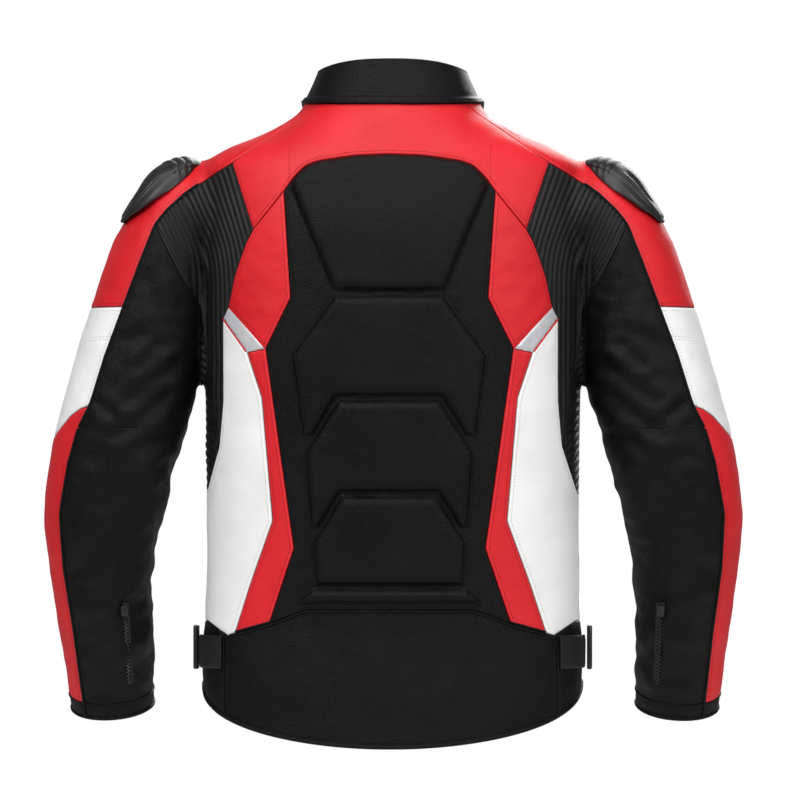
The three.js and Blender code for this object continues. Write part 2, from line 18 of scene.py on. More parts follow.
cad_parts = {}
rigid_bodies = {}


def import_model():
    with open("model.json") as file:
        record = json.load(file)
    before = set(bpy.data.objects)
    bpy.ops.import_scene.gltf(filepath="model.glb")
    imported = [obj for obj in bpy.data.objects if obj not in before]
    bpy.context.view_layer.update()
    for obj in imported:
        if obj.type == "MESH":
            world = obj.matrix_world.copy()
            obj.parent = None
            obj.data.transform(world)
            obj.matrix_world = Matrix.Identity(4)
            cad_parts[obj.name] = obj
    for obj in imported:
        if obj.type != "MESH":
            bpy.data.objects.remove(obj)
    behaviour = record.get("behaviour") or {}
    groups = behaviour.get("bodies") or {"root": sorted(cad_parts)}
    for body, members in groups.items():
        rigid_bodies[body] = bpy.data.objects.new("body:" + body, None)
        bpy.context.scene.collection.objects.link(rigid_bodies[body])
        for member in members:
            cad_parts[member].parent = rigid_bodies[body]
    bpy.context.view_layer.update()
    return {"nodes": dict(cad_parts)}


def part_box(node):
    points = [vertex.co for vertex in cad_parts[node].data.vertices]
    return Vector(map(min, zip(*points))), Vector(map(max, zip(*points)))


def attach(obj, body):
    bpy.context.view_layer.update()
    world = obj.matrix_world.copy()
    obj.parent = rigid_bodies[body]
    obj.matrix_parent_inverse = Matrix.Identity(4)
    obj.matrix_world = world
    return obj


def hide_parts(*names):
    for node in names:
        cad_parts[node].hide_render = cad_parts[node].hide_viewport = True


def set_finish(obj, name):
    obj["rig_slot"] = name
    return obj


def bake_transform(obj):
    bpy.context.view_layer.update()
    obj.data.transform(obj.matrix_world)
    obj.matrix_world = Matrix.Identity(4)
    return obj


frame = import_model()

MM = 0.001
scene = bpy.context.scene

# %% [markdown]
# ## The sizes of the body and the sleeves
# Each row of a table is one level of the jacket in millimetres. The same rounded-oval rule
# turns a row into a ring of points, so the body, the collar and the lining all agree.

# %% Levels of the torso and stations of the sleeve
SQUARENESS = 0.8                 # power that makes an oval section a little square
ZIP_TOP = -108                   # top of the front zip
ARM_PLANE = 191                  # where the sleeve begins
ELBOW = -325                     # where the forearm begins
HEM = -641
CUFF_HEIGHT = 15


def front_depth(z):
    """The straight front edge leans out a little on its way down."""
    return 94 - 0.054 * (z - ZIP_TOP)


# height, half width, back depth, rise at the side, rise at the front, front depth
TORSO = [
    (0, 86, 80, 3, -65, 64),
    (-14, 97, 90, 0, -62, 76),
    (-33, 132, 98, 0, -53, 85),
    (-46, 165, 104, 0, -47, 91),
    (-62, 188, 111, 0, -40, front_depth(-102)),
    (-90, 189, 120, 0, -27, front_depth(-117)),
    (-128, 189, 128, 0, -12, front_depth(-140)),
    (-185, 188, 132, 0, 0, front_depth(-185)),
    (-255, 188, 131, 0, 0, front_depth(-255)),
    (-330, 187, 126, 0, 0, front_depth(-330)),
    (-420, 186, 118, 0, 0, front_depth(-420)),
    (-505, 187, 112, 0, 0, front_depth(-505)),
    (-550, 189, 113, 14, 16, front_depth(-534)),
    (-581, 190, 114, 30, 36, front_depth(-545)),
    (HEM, 189, 114, 62, 80, front_depth(-561)),
]

# middle of the sleeve, radius seen from behind, radius front to back
SLEEVE = [
    (201, 2, -68, 9, 26),
    (208, 2, -84, 23, 44),
    (217, 2, -108, 38, 57),
    (228, 1, -148, 52, 64),
    (240, 0, -200, 58, 66),
    (250, -2, -245, 62, 65),
    (262, -3, -290, 63, 64),
    (272, -3, ELBOW, 63, 63),
    (281, -1, -360, 62, 61),
    (291, 9, -415, 59, 58),
    (292, 28, -480, 51, 51),
    (288, 50, -543, 46, 46),
    (284, 72, -603, 42, 41),
]


def between(rows, steps):
    """The rows of a table with smooth in-between rows."""
    rows = np.asarray(rows, float)
    last = len(rows) - 1
    out = []
    for i in range(last):
        a, b, c, d = rows[max(i - 1, 0)], rows[i], rows[i + 1], rows[min(i + 2, last)]
        for k in range(steps):
            t = k / steps
            bend = (2 * a - 5 * b + 4 * c - d) * t * t + (3 * b - a - 3 * c + d) * t ** 3
            out.append(0.5 * (2 * b + (c - a) * t + bend))
    out.append(rows[last])
    return np.array(out)


def oval(angle, half, back, front):
    """Points of a rounded-square oval; angle 0 is the centre back."""
    across = np.sin(angle)
    ahead = -np.cos(angle)
    reach = np.where(ahead > 0, front, back)
    x = np.sign(across) * np.abs(across) ** SQUARENESS * half
    y = np.sign(ahead) * np.abs(ahead) ** SQUARENESS * reach
    return x, y


def ring_rise(y, row):
    """How far a ring climbs away from its own level at a depth y."""
    height, half, back, side, front, depth = row
    share = np.clip(np.where(y > 0, y / depth, -y / back), 0, 1)
    ahead = side + (front - side) * share ** 1.5
    behind = side * (1 - share) ** 0.8
    return np.where(y > 0, ahead, behind)


def torso_ring(row, angle, grow=0.0, lift=0.0):
    """One level of the torso as points in millimetres."""
    height, half, back, side, front, depth = row
    x, y = oval(angle, half + grow, back + grow, depth + grow)
    share_y = y * depth / (depth + grow)
    z = height + ring_rise(share_y, row) + 0.8 * grow + lift
    return np.stack([x, y, z], 1)


def sleeve_frame(rows, i):
    """The sleeve's direction at a row, and the ways to its back and its outer side."""
    before = rows[max(i - 1, 0)][:3]
    after = rows[min(i + 1, len(rows) - 1)][:3]
    along = (after - before) / np.linalg.norm(after - before)
    back = np.array([0.0, -1.0, 0.0]) + along * along[1]
    back /= np.linalg.norm(back)
    return along, back, np.cross(back, along)


def sleeve_ring(rows, i, angle, grow=0.0, further=0.0):
    """One station of the sleeve as points; angle 0 is its outer side."""
    along, back, outer = sleeve_frame(rows, i)
    r, deep = rows[i][3] + grow, rows[i][4] + grow
    centre = rows[i][:3] + along * further
    return centre + np.outer(np.cos(angle) * r, outer) + np.outer(np.sin(angle) * deep, back)


def mesh_object(name, verts, faces, smooth=True):
    """A new object from points in metres."""
    mesh = bpy.data.meshes.new(name)
    mesh.from_pydata([tuple(v) for v in verts], [], [tuple(f) for f in faces])
    mesh.update()
    if smooth:
        mesh.polygons.foreach_set("use_smooth", [True] * len(mesh.polygons))
    made = bpy.data.objects.new(name, mesh)
    scene.collection.objects.link(made)
    return made


def ring_faces(rings, sides, closed=True):
    """Quads between rings of points that follow each other."""
    faces = []
    for r in range(rings - 1):
        for i in range(sides if closed else sides - 1):
            a, b = r * sides + i, r * sides + (i + 1) % sides
            faces.append((a, b, b + sides, a + sides))
    return faces


def closed_loft(name, rings):
    """A closed body over rings of points in millimetres."""
    sides = len(rings[0])
    faces = ring_faces(len(rings), sides)
    faces.append(tuple(range(sides)))
    faces.append(tuple(range((len(rings) - 1) * sides, len(rings) * sides)))
    return mesh_object(name, np.concatenate(rings) * MM, faces)


TURN = np.linspace(0, 2 * math.pi, 160, endpoint=False)
torso_rows = between(TORSO, 8)
sleeve_rows = between(SLEEVE, 8)
print("rows", len(torso_rows), len(sleeve_rows))

# %% [markdown]
# ## One skin for the whole right half
# A real jacket is sewn from flat panels that together make one skin. Modelling the skin
# first and cutting it afterwards keeps every seam tight. The body and the sleeve are melted
# together by a voxel remesh, which also gives an even mesh that bends well.

# %% Melt the body and the sleeve into one skin
VOXEL = 4.0 * MM
SPARE, SPARE_SLEEVE = 24, 20     # extra length that is cut off again at the ends
SHOULDER_POINT = Vector((178, 0, -105)) * MM     # middle of the shoulder cap that joins them
SHOULDER_SIZE = Vector((53, 56, 49)) * MM


def evaluated(obj):
    """The object's mesh with its modifiers applied."""
    bpy.context.view_layer.update()
    graph = bpy.context.evaluated_depsgraph_get()
    mesh = bpy.data.meshes.new_from_object(obj.evaluated_get(graph))
    obj.modifiers.clear()
    old = obj.data
    obj.data = mesh
    bpy.data.meshes.remove(old)
    return obj


def select_only(*objects):
    """Selects these objects alone, the first one active."""
    bpy.ops.object.select_all(action="DESELECT")
    for obj in objects:
        obj.select_set(True)
    bpy.context.view_layer.objects.active = objects[0]


def melted(obj, voxel, rounds):
    """Gives an object one even skin, eased this many rounds."""
    melt = obj.modifiers.new("melt", "REMESH")
    melt.mode = "VOXEL"
    melt.voxel_size = voxel
    ease = obj.modifiers.new("ease", "SMOOTH")
    ease.factor = 0.5
    ease.iterations = rounds


def made_finer(obj):
    """Splits each face of an object in four, smoothly."""
    fine = obj.modifiers.new("fine", "SUBSURF")
    fine.levels = 1
    fine.render_levels = 1
    return fine


def shade_smooth(mesh):
    mesh.polygons.foreach_set("use_smooth", [True] * len(mesh.polygons))


def right_half_skin():
    """The outer skin of the right half, longer than needed at neck, hem and cuff."""
    rings = [torso_ring(torso_rows[0], TURN, lift=SPARE)]
    rings += [torso_ring(row, TURN) for row in torso_rows]
    rings.append(torso_ring(torso_rows[-1], TURN, lift=-SPARE))
    body = closed_loft("skin", rings)
    last = len(sleeve_rows) - 1
    arm_rings = [sleeve_ring(sleeve_rows, i, TURN) for i in range(last + 1)]
    arm_rings.append(sleeve_ring(sleeve_rows, last, TURN, further=SPARE_SLEEVE))
    arm = closed_loft("arm", arm_rings)
    bpy.ops.mesh.primitive_uv_sphere_add(segments=48, ring_count=32, radius=1)
    bridge = bpy.context.active_object
    bridge.data.transform(Matrix.Translation(SHOULDER_POINT) @ Matrix.Diagonal(SHOULDER_SIZE).to_4x4())
    select_only(body, arm, bridge)
    bpy.ops.object.join()
    melted(body, VOXEL, 7)
    made_finer(body)
    return evaluated(body)


def edge_level(y, row):
    """The level of a ring's edge at a depth y, in millimetres."""
    return row[0] + ring_rise(y, row)


skin = right_half_skin()
bm = bmesh.new()
bm.from_mesh(skin.data)
bpy.data.objects.remove(skin)
for way, drop in (((1, 0, 0), True), ((0, 1, 0), False)):
    everything = list(bm.verts) + list(bm.edges) + list(bm.faces)
    bmesh.ops.bisect_plane(bm, geom=everything, plane_co=(0, 0, 0), plane_no=way, dist=1e-6,
                           clear_inner=drop)
print("half skin", len(bm.faces), "faces")

# %% [markdown]
# ## The seams
# Seams are drawn on the back view, in millimetres from the collar seam. A seam is cut by
# upright planes through its segments, on the back, on the front or on both sides.
# Corners shared by several seams have a name, so that the panels always meet.

# %% Seam lines of the right half
NECK_START, NECK_POINT = (60, 12), (82, -9)
YOKE_CORNER, ARM_TOP = (158, -61), (ARM_PLANE, -81)
BLADE_TOP, BLADE_SIDE = (105, -90), (136, -128)
BLADE_END, BLADE_TIP = (161, -204), (123, -246)
INSERT_END, STRIPE_TOP = (167, -216), (142, -250)
STRETCH_END = (ARM_PLANE, -408)
BAND_CORNER, BAND_SIDE, BAND_LEVEL = (120, -518), (155, -528), -517
FRONT_CORNER = (120, -150)
RIB_TOP, RIB_LOW = (235, -122), (ARM_PLANE, -203)

SHOULDER_SEAM = [NECK_START, NECK_POINT, YOKE_CORNER, ARM_TOP]
YOKE_SIDE = [YOKE_CORNER, BLADE_SIDE]
YOKE_BLADE = [BLADE_SIDE, BLADE_TOP]
CENTRE_TOP = [(-1, -53), (35, -54.5), (71, -60), (83, -64.5), (95, -76), BLADE_TOP]
BLADE_INNER = [BLADE_TOP, (98, -196), BLADE_TIP]
BLADE_OUTER = [BLADE_SIDE, (143, -141), (149, -157), (155, -175), BLADE_END]
INSERT = [BLADE_END, BLADE_TIP, STRIPE_TOP, INSERT_END, BLADE_END]
STRETCH_SIDE = [INSERT_END, (167, -298), (171, -343), STRETCH_END]
STRIPE_OUTER = [STRIPE_TOP, (127, -295), (116.5, -417), (139, -479), BAND_SIDE]
STRIPE_INNER = [BLADE_TIP, (117, -289), (95, -444), BAND_CORNER]
BAND_TOP = [(-1, -504), (84, -504), BAND_CORNER, BAND_SIDE, (163, -531), (184, BAND_LEVEL),
            (196, BAND_LEVEL)]
BAND_END = [(166, -524), (166, -670)]
FRONT_BAND = [(-1, BAND_LEVEL), (196, BAND_LEVEL)]
FRONT_YOKE = [(-1, -150), FRONT_CORNER, (192, -122)]
FRONT_SIDE = [FRONT_CORNER, (118, -300), (125, BAND_LEVEL)]
PLACKET = [(6, 40), (6, -670)]
RIB_EDGE = [RIB_TOP, (226, -141), (211, -170), RIB_LOW]
WELT = [ARM_TOP, (206, -91), (224, -108), RIB_TOP, (250, -160), (265, -200), (285, -254), (300, -302),
        (312, ELBOW), (322, -360), (331, -410), (328, -466), (320, -524), (307, -640)]
BAND_LINE = [(265, -204), (300, -204.5), (330, -211), (350, -216)]
ELBOW_LINE = [(150, ELBOW), (312, ELBOW)]
ELBOW_ARC = [(300, -302), (311, -306), (321, -313), (335, -329), (356, -356)]

SEAMS = [
    ("back", SHOULDER_SEAM), ("back", YOKE_SIDE), ("back", YOKE_BLADE), ("back", CENTRE_TOP),
    ("back", BLADE_INNER), ("back", BLADE_OUTER), ("back", INSERT), ("back", STRETCH_SIDE),
    ("back", STRIPE_OUTER), ("back", STRIPE_INNER), ("back", BAND_TOP), ("back", BAND_END),
    ("front", FRONT_BAND), ("front", FRONT_YOKE), ("front", FRONT_SIDE), ("front", PLACKET),
    ("back", RIB_EDGE), ("both", WELT), ("both", BAND_LINE), ("arm", ELBOW_LINE), ("arm", ELBOW_ARC),
    ("front", [(ARM_PLANE, -20), (ARM_PLANE, -330)]),
    ("back", [(ARM_PLANE, -20), ARM_TOP]), ("back", [RIB_LOW, (ARM_PLANE, -330)]),
]
CUT_REACH, CUT_WIDTH = 3.5, 3.0  # a cut runs this far past its segment's ends and beside it
NEAR_LINE = 6                    # only faces this near a whole seam are looked at
ON_LINE, PAST_END = 0.04, 0.3    # how near a seam, and how far past its end, a point is on it
SIDE_SEAM = (-408, -240)         # the side seam under the arm, between these levels


def beside(x, z, a, b, reach_along, reach_across):
    """Whether points lie beside the segment from a to b."""
    ax, az = a
    length = math.hypot(b[0] - ax, b[1] - az)
    ux, uz = (b[0] - ax) / length, (b[1] - az) / length
    along = (x - ax) * ux + (z - az) * uz
    across = (x - ax) * -uz + (z - az) * ux
    return (along > -reach_along) & (along < length + reach_along) & (abs(across) < reach_across)


def side_of(where, x, y):
    """Whether points lie on the side of the jacket that a seam belongs to."""
    if where == "back":
        return y < 0.2
    if where == "front":
        return y > -0.2
    if where == "arm":
        return x > ARM_PLANE - 1
    return y == y


def cut_seam(where, line):
    """Cuts the skin's faces along one seam."""
    xs, zs = [p[0] for p in line], [p[1] for p in line]
    low_x, high_x = min(xs) - NEAR_LINE, max(xs) + NEAR_LINE
    low_z, high_z = min(zs) - NEAR_LINE, max(zs) + NEAR_LINE
    near = []
    for face in bm.faces:
        centre = face.calc_center_median() / MM
        in_box = low_x < centre.x < high_x and low_z < centre.z < high_z
        if in_box and side_of(where, centre.x, centre.y):
            near.append(face)
    for a, b in zip(line, line[1:]):
        near = [face for face in near if face.is_valid]
        chosen = []
        for face in near:
            centre = face.calc_center_median() / MM
            if beside(centre.x, centre.z, a, b, CUT_REACH, CUT_WIDTH):
                chosen.append(face)
        if not chosen:
            continue
        edges = {edge for face in chosen for edge in face.edges}
        verts = {vert for face in chosen for vert in face.verts}
        across = (-(b[1] - a[1]), 0, b[0] - a[0])
        cut = bmesh.ops.bisect_plane(bm, geom=list(verts) + list(edges) + chosen, dist=1e-5,
                                     plane_co=(a[0] * MM, 0, a[1] * MM), plane_no=across)
        known = set(near)
        for part in cut["geom"]:
            if isinstance(part, bmesh.types.BMFace) and part not in known:
                near.append(part)


for where, line in SEAMS:
    cut_seam(where, line)

WRIST_ALONG = sleeve_frame(sleeve_rows, len(sleeve_rows) - 1)[0]
WRIST = sleeve_rows[-1][:3]
PAST_BODY, FOREARM_END = 200, -500       # only the end of the sleeve lies beyond both


def cut_sleeve(level, drop_beyond):
    """Cuts the forearm square across, this far up from its end."""
    place = (WRIST - WRIST_ALONG * level) * MM
    chosen = []
    for face in bm.faces:
        centre = face.calc_center_median() / MM
        if centre.x > PAST_BODY and centre.z < FOREARM_END:
            chosen.append(face)
    edges = {edge for face in chosen for edge in face.edges}
    verts = {vert for face in chosen for vert in face.verts}
    bmesh.ops.bisect_plane(bm, geom=list(verts) + list(edges) + chosen, dist=1e-5, plane_co=place,
                           plane_no=WRIST_ALONG, clear_outer=drop_beyond)


cut_sleeve(0, True)
cut_sleeve(CUFF_HEIGHT, False)
print("cut skin", len(bm.faces), "faces")

# %% [markdown]
# ## From one skin to separate panels
# Every edge that lies on a seam is a border. Faces that can reach each other without
# crossing a border make one panel, and a place on each panel gives it its name.

# %% Find the panels
bm.verts.index_update()
bm.verts.ensure_lookup_table()
bm.faces.ensure_lookup_table()
points = np.array([vert.co for vert in bm.verts]) / MM
edge_ends = np.array([[edge.verts[0].index, edge.verts[1].index] for edge in bm.edges])
is_border = np.zeros(len(edge_ends), bool)
for where, line in SEAMS:
    for a, b in zip(line, line[1:]):
        on = beside(points[:, 0], points[:, 2], a, b, PAST_END, ON_LINE)
        on &= side_of(where, points[:, 0], points[:, 1])
        is_border |= on[edge_ends[:, 0]] & on[edge_ends[:, 1]]
on_side_seam = (abs(points[:, 1]) < ON_LINE) & (points[:, 0] > 150) & (points[:, 0] < ARM_PLANE + 2)
on_side_seam &= (points[:, 2] > SIDE_SEAM[0] - 3) & (points[:, 2] < SIDE_SEAM[1])
is_border |= on_side_seam[edge_ends[:, 0]] & on_side_seam[edge_ends[:, 1]]
past_seam = (points - (WRIST - WRIST_ALONG * CUFF_HEIGHT)) @ WRIST_ALONG
on_cuff = (abs(past_seam) < ON_LINE) & (points[:, 0] > PAST_BODY)
is_border |= on_cuff[edge_ends[:, 0]] & on_cuff[edge_ends[:, 1]]
past_cuff = (past_seam > ON_LINE) & (points[:, 0] > PAST_BODY)
is_border &= ~(past_cuff[edge_ends[:, 0]] | past_cuff[edge_ends[:, 1]])

borders = {edge for edge, flag in zip(bm.edges, is_border) if flag}
neck_row, hem_row = TORSO[0], TORSO[-1]
NECK_REACH = 1.2                 # the neck's oval, and a little round it, is open
NECK_ZONE = -90                  # the neck edge lies above this level


def outside_ends(face):
    """Whether a face lies above the neck edge or below the hem."""
    centre = face.calc_center_median() / MM
    if centre.x > ARM_PLANE + 2:
        return False
    if centre.z > NECK_ZONE:
        top = edge_level(np.float64(centre.y), neck_row)
        deep = neck_row[5] if centre.y > 0 else neck_row[2]
        inside = (centre.x / neck_row[1]) ** 2 + (centre.y / deep) ** 2 < NECK_REACH
        return bool(inside and centre.z > top)
    return bool(centre.z < edge_level(np.float64(centre.y), hem_row))


kept = [face for face in bm.faces if not outside_ends(face)]
kept_set = set(kept)
panel_of = {}
groups = []
for start in kept:
    if start in panel_of:
        continue
    number = len(groups)
    members = [start]
    panel_of[start] = number
    for face in members:
        for edge in face.edges:
            if edge in borders:
                continue
            for other in edge.link_faces:
                if other in kept_set and other not in panel_of:
                    panel_of[other] = number
                    members.append(other)
    groups.append(members)
print("groups", len(groups), sorted((len(g) for g in groups), reverse=True)[:30])

PLACES = {                       # panel: a place on it in the back view, and its side
    "back_yoke": (6, -30, -1), "back_centre_panel": (6, -300, -1), "waistband_back": (6, -570, -1),
    "back_blade": (120, -180, -1), "side_stripe": (118, -350, -1), "side_panel": (150, -420, -1),
    "reflective_insert": (148, -233, -1), "stretch_panel": (165, -150, -1),
    "front_shoulder": (100, -115, 1), "front_panel": (60, -230, 1), "waistband_front": (90, -538, 1),
    "sleeve_cap": (262, -160, -1), "sleeve_band": (305, -265, -1), "sleeve_under": (240, -280, -1),
    "forearm_outer": (340, -400, -1), "forearm_under": (285, -450, -1), "cuff": (284, -608, -1),
}
TOO_FAR = 1000
centres = np.array([face.calc_center_median() for face in kept]) / MM
half_panels = {}
for name, (x, z, side) in PLACES.items():
    gap = np.hypot(centres[:, 0] - x, centres[:, 2] - z)
    gap += np.where(centres[:, 1] * side > -1, 0, TOO_FAR)
    if name == "cuff":
        gap = abs((centres - (WRIST - WRIST_ALONG * 6)) @ WRIST_ALONG)
        gap += np.where(centres[:, 0] > PAST_BODY, 0, TOO_FAR)
    members = groups[panel_of[kept[int(np.argmin(gap))]]]
    index = {}
    faces = []
    for face in members:
        faces.append([index.setdefault(vert.index, len(index)) for vert in face.verts])
    half_panels[name] = (points[list(index)], faces)
    print("panel", name, len(faces))
bm.free()

# %% [markdown]
# ## Relief
# Leather panels are turned under at their edges, the back carries foam pads under the
# leather, and the stretch panel is knitted in ribs. All of this is real shape: each point
# of a panel moves along its normal by a sum of small named reliefs.

# %% Reliefs of the leather
ROLL_WIDTH, ROLL_DEPTH = 3.2, 1.3        # the turned edge beside a seam
PAD_HEIGHT, PAD_EDGE = 7.5, 9.0          # foam pads of the back and their rounded edge
RIB_PITCH, RIB_DEPTH = 4.9, 2.3          # ribs of the stretch panel
TURNED_IN = 3.5                          # how deep a panel's edge is turned in

# outlines of the pads: the first one whole, the others as right halves
PADS = [
    [(-97, -40), (97, -40), (97, -85.5), (56, -184), (51, -188), (-51, -188), (-56, -184),
     (-97, -85.5)],
    [(0, -194), (53, -194), (95.5, -253), (85, -331), (76.5, -331), (52.5, -291.5), (0, -291.5)],
    [(0, -297.5), (49.5, -297.5), (82, -349), (77, -422), (70.5, -422), (49.5, -386.5),
     (0, -386.5)],
    [(0, -392.5), (46.5, -392.5), (74.5, -438), (72, -479), (0, -479)],
    [(0, -484), (76, -484), (92, -498), (0, -498)],
]
FOLDS = [                                # creases of the sleeve: ends, depth, width
    ((214, -262), (262, -300), 2.6, 7), ((222, -292), (268, -330), 2.8, 8),
    ((300, -296), (258, -322), 2.4, 6), ((232, -243), (250, -262), 1.6, 6),
    ((226, -335), (262, -352), 2.2, 8), ((246, -232), (282, -250), 1.6, 9),
    ((236, -395), (262, -372), 1.6, 9), ((262, -360), (300, -352), 1.8, 8),
    ((280, -440), (320, -470), 1.6, 10), ((250, -500), (290, -520), 1.6, 9),
    ((252, -540), (286, -552), 1.4, 8), ((232, -200), (226, -240), 1.4, 7),
    ((248, -150), (240, -190), 1.5, 8), ((300, -560), (258, -575), 1.3, 8),
]


def closed_line(outline):
    return list(outline) + [outline[0]]


def line_distance(x, z, line):
    """Distance of points from a polyline in the back view."""
    best = np.full(len(x), 1e9)
    for (ax, az), (bx, bz) in zip(line, line[1:]):
        dx, dz = bx - ax, bz - az
        share = np.clip(((x - ax) * dx + (z - az) * dz) / (dx * dx + dz * dz), 0, 1)
        best = np.minimum(best, np.hypot(x - ax - share * dx, z - az - share * dz))
    return best


def within(x, z, outline):
    """Whether points lie inside an outline of the back view."""
    inside = np.zeros(len(x), bool)
    for (ax, az), (bx, bz) in zip(outline, outline[1:] + outline[:1]):
        crosses = (az > z) != (bz > z)
        rise = bz - az if bz != az else 1e-9
        inside ^= crosses & (x < (bx - ax) * (z - az) / rise + ax)
    return inside


def pads_relief(co):
    """Raised foam pads under the leather of the back."""
    x, z = abs(co[:, 0]), co[:, 2]
    height = np.zeros(len(co))
    for outline in PADS:
        inside = within(x, z, outline)
        edge = line_distance(x, z, closed_line(outline) if outline[0][0] < 0 else outline)
        near = np.clip(edge / PAD_EDGE, 0, 1)
        dome = np.sqrt(1 - (1 - near) ** 2)
        height = np.where(inside, PAD_HEIGHT * dome, height)
        height -= np.where(inside, 0, 0.9 * np.exp(-(edge / 2.2) ** 2))
    return height


def rib_phase(x, z):
    """Which rib a point lies on: ribs fan out upwards and meet in a fold at the arm."""
    level, soft_above, soft_below = -150.0, 12.0, 5.0
    above = soft_above * np.logaddexp(0, (z - level) / soft_above)
    below = soft_below * np.logaddexp(0, (level - z) / soft_below)
    start, fan = -0.2004, 0.0039
    fold = 200 - 0.12 * below
    across = (x - start * above) / (1 + fan * above)
    return across + np.where(x > fold, 0.6 * below, 0), fold


def ribs_relief(co):
    """Round knitted ribs with narrow valleys between them."""
    across, fold = rib_phase(co[:, 0], co[:, 2])
    share = across / RIB_PITCH - np.floor(across / RIB_PITCH)
    ridge = 1 - abs(2 * share - 1) ** 2.6
    strength = np.clip((-152 - co[:, 2]) / 25, 0, 1)
    valley = strength * np.exp(-((co[:, 0] - fold) / 3.5) ** 2)
    return RIB_DEPTH * (ridge - 1) - 2.2 * valley


def folds_relief(co, strength):
    """Creases with a soft ridge beside them, on the back of the sleeve."""
    x, z = co[:, 0], co[:, 2]
    height = np.zeros(len(co))
    for a, b, depth, width in FOLDS:
        gap = line_distance(x, z, [a, b])
        height -= depth * np.exp(-(gap / width) ** 2)
        height += 0.55 * depth * np.exp(-((gap - 1.9 * width) / width) ** 2)
    return height * np.clip(0.5 - co[:, 1] * 0.03, 0, 1) * strength


def waves_relief(co, size, amount, seed):
    """Gentle unevenness of worn leather."""
    shift = Vector((seed * 7.3, seed * 3.1, seed * 5.7))
    places = (Vector((p[0] / size, p[1] / size, p[2] / (size * 0.7))) + shift for p in co)
    return amount * np.array([noise.noise(p) + 0.5 * noise.noise(p * 2.3) for p in places])


def numbers(data, name, width):
    out = np.zeros(len(data) * width)
    data.foreach_get(name, out)
    return out.reshape(-1, width) if width > 1 else out


def border_distance(obj, joined):
    """Distance of each point from the panel's sewn edge; joined tells which edges aren't sewn."""
    mesh = obj.data
    uses = np.zeros(len(mesh.edges), int)
    loops = np.zeros(len(mesh.loops), int)
    mesh.loops.foreach_get("edge_index", loops)
    np.add.at(uses, loops, 1)
    co = numbers(mesh.vertices, "co", 3) / MM
    samples = []
    for edge in np.flatnonzero(uses == 1):
        a, b = (co[i] for i in mesh.edges[edge].vertices)
        if joined(a) and joined(b):
            continue
        steps = max(1, int(np.linalg.norm(b - a) / 0.7))
        samples += [a + (b - a) * k / steps for k in range(steps + 1)]
    tree = KDTree(len(samples))
    for i, place in enumerate(samples):
        tree.insert(place, i)
    tree.balance()
    return np.array([tree.find(p)[2] for p in co])


JOINED = 0.3                     # within this of a plane, an edge is one with its neighbour


def at_centre(p):
    return abs(p[0]) < JOINED


def at_arm(p):
    return abs(abs(p[0]) - ARM_PLANE) < JOINED and p[2] > ELBOW


def at_arm_or_elbow(p):
    return at_arm(p) or (abs(p[2] - ELBOW) < JOINED and abs(p[0]) > ARM_PLANE)


def never(p):
    return False


# panel: (slot, wave size, wave amount, extra relief, edges that aren't sewn, whether finer)
PANELS = {
    "back_yoke": ("red_leather", 60, 0.9, "", at_centre, False),
    "back_centre_panel": ("black_leather", 45, 0.5, "pads", at_centre, False),
    "waistband_back": ("black_leather", 50, 0.9, "", at_centre, False),
    "back_blade": ("red_leather", 40, 0.9, "", never, False),
    "side_stripe": ("red_leather", 40, 0.6, "", never, False),
    "side_panel": ("white_leather", 60, 1.1, "", never, False),
    "reflective_insert": ("reflective", 40, 0.3, "", never, False),
    "stretch_panel": ("stretch_rib", 60, 0.8, "ribs", at_arm, True),
    "front_shoulder": ("red_leather", 55, 0.9, "", at_arm, False),
    "front_panel": ("black_leather", 60, 1.0, "", never, False),
    "waistband_front": ("black_leather", 50, 0.9, "", never, False),
    "sleeve_cap": ("red_leather", 45, 1.1, "", at_arm, False),
    "sleeve_band": ("white_leather", 45, 1.0, "", never, False),
    "sleeve_under": ("black_leather", 42, 2.8, "folds", at_arm_or_elbow, False),
    "forearm_under": ("black_leather", 42, 2.8, "folds", at_arm_or_elbow, False),
    "forearm_outer": ("red_leather", 50, 1.1, "", never, False),
    "cuff": ("black_leather", 30, 0.5, "", never, False),
}
CENTRE_PANELS = ("back_yoke", "back_centre_panel", "waistband_back")
FABRIC = {}


def turn_in_edges(obj):
    """Extrudes a panel's edges inwards, as turned leather."""
    work = bmesh.new()
    work.from_mesh(obj.data)
    work.normal_update()
    rim = [edge for edge in work.edges if len(edge.link_faces) == 1]
    made = bmesh.ops.extrude_edge_only(work, edges=rim)
    for vert in (part for part in made["geom"] if isinstance(part, bmesh.types.BMVert)):
        others = (edge.other_vert(vert) for edge in vert.link_edges)
        source = next((other for other in others if other not in made["geom"]), None)
        if source is not None:
            vert.co = source.co - source.normal * TURNED_IN * MM
    work.to_mesh(obj.data)
    work.free()


def snapped(mesh, co):
    """Pulls the cut ends at the neck and the hem onto their true lines."""
    loops = np.zeros(len(mesh.loops), int)
    mesh.loops.foreach_get("edge_index", loops)
    uses = np.bincount(loops, minlength=len(mesh.edges))
    ends = np.zeros(len(mesh.edges) * 2, int)
    mesh.edges.foreach_get("vertices", ends)
    rim = np.zeros(len(co), bool)
    rim[ends.reshape(-1, 2)[uses == 1].ravel()] = True
    for row in (neck_row, hem_row):
        true_line = edge_level(co[:, 1], row)
        close = rim & (abs(co[:, 2] - true_line) < 5) & (abs(co[:, 0]) < row[1] + 4)
        co[close, 2] = true_line[close]
    return co


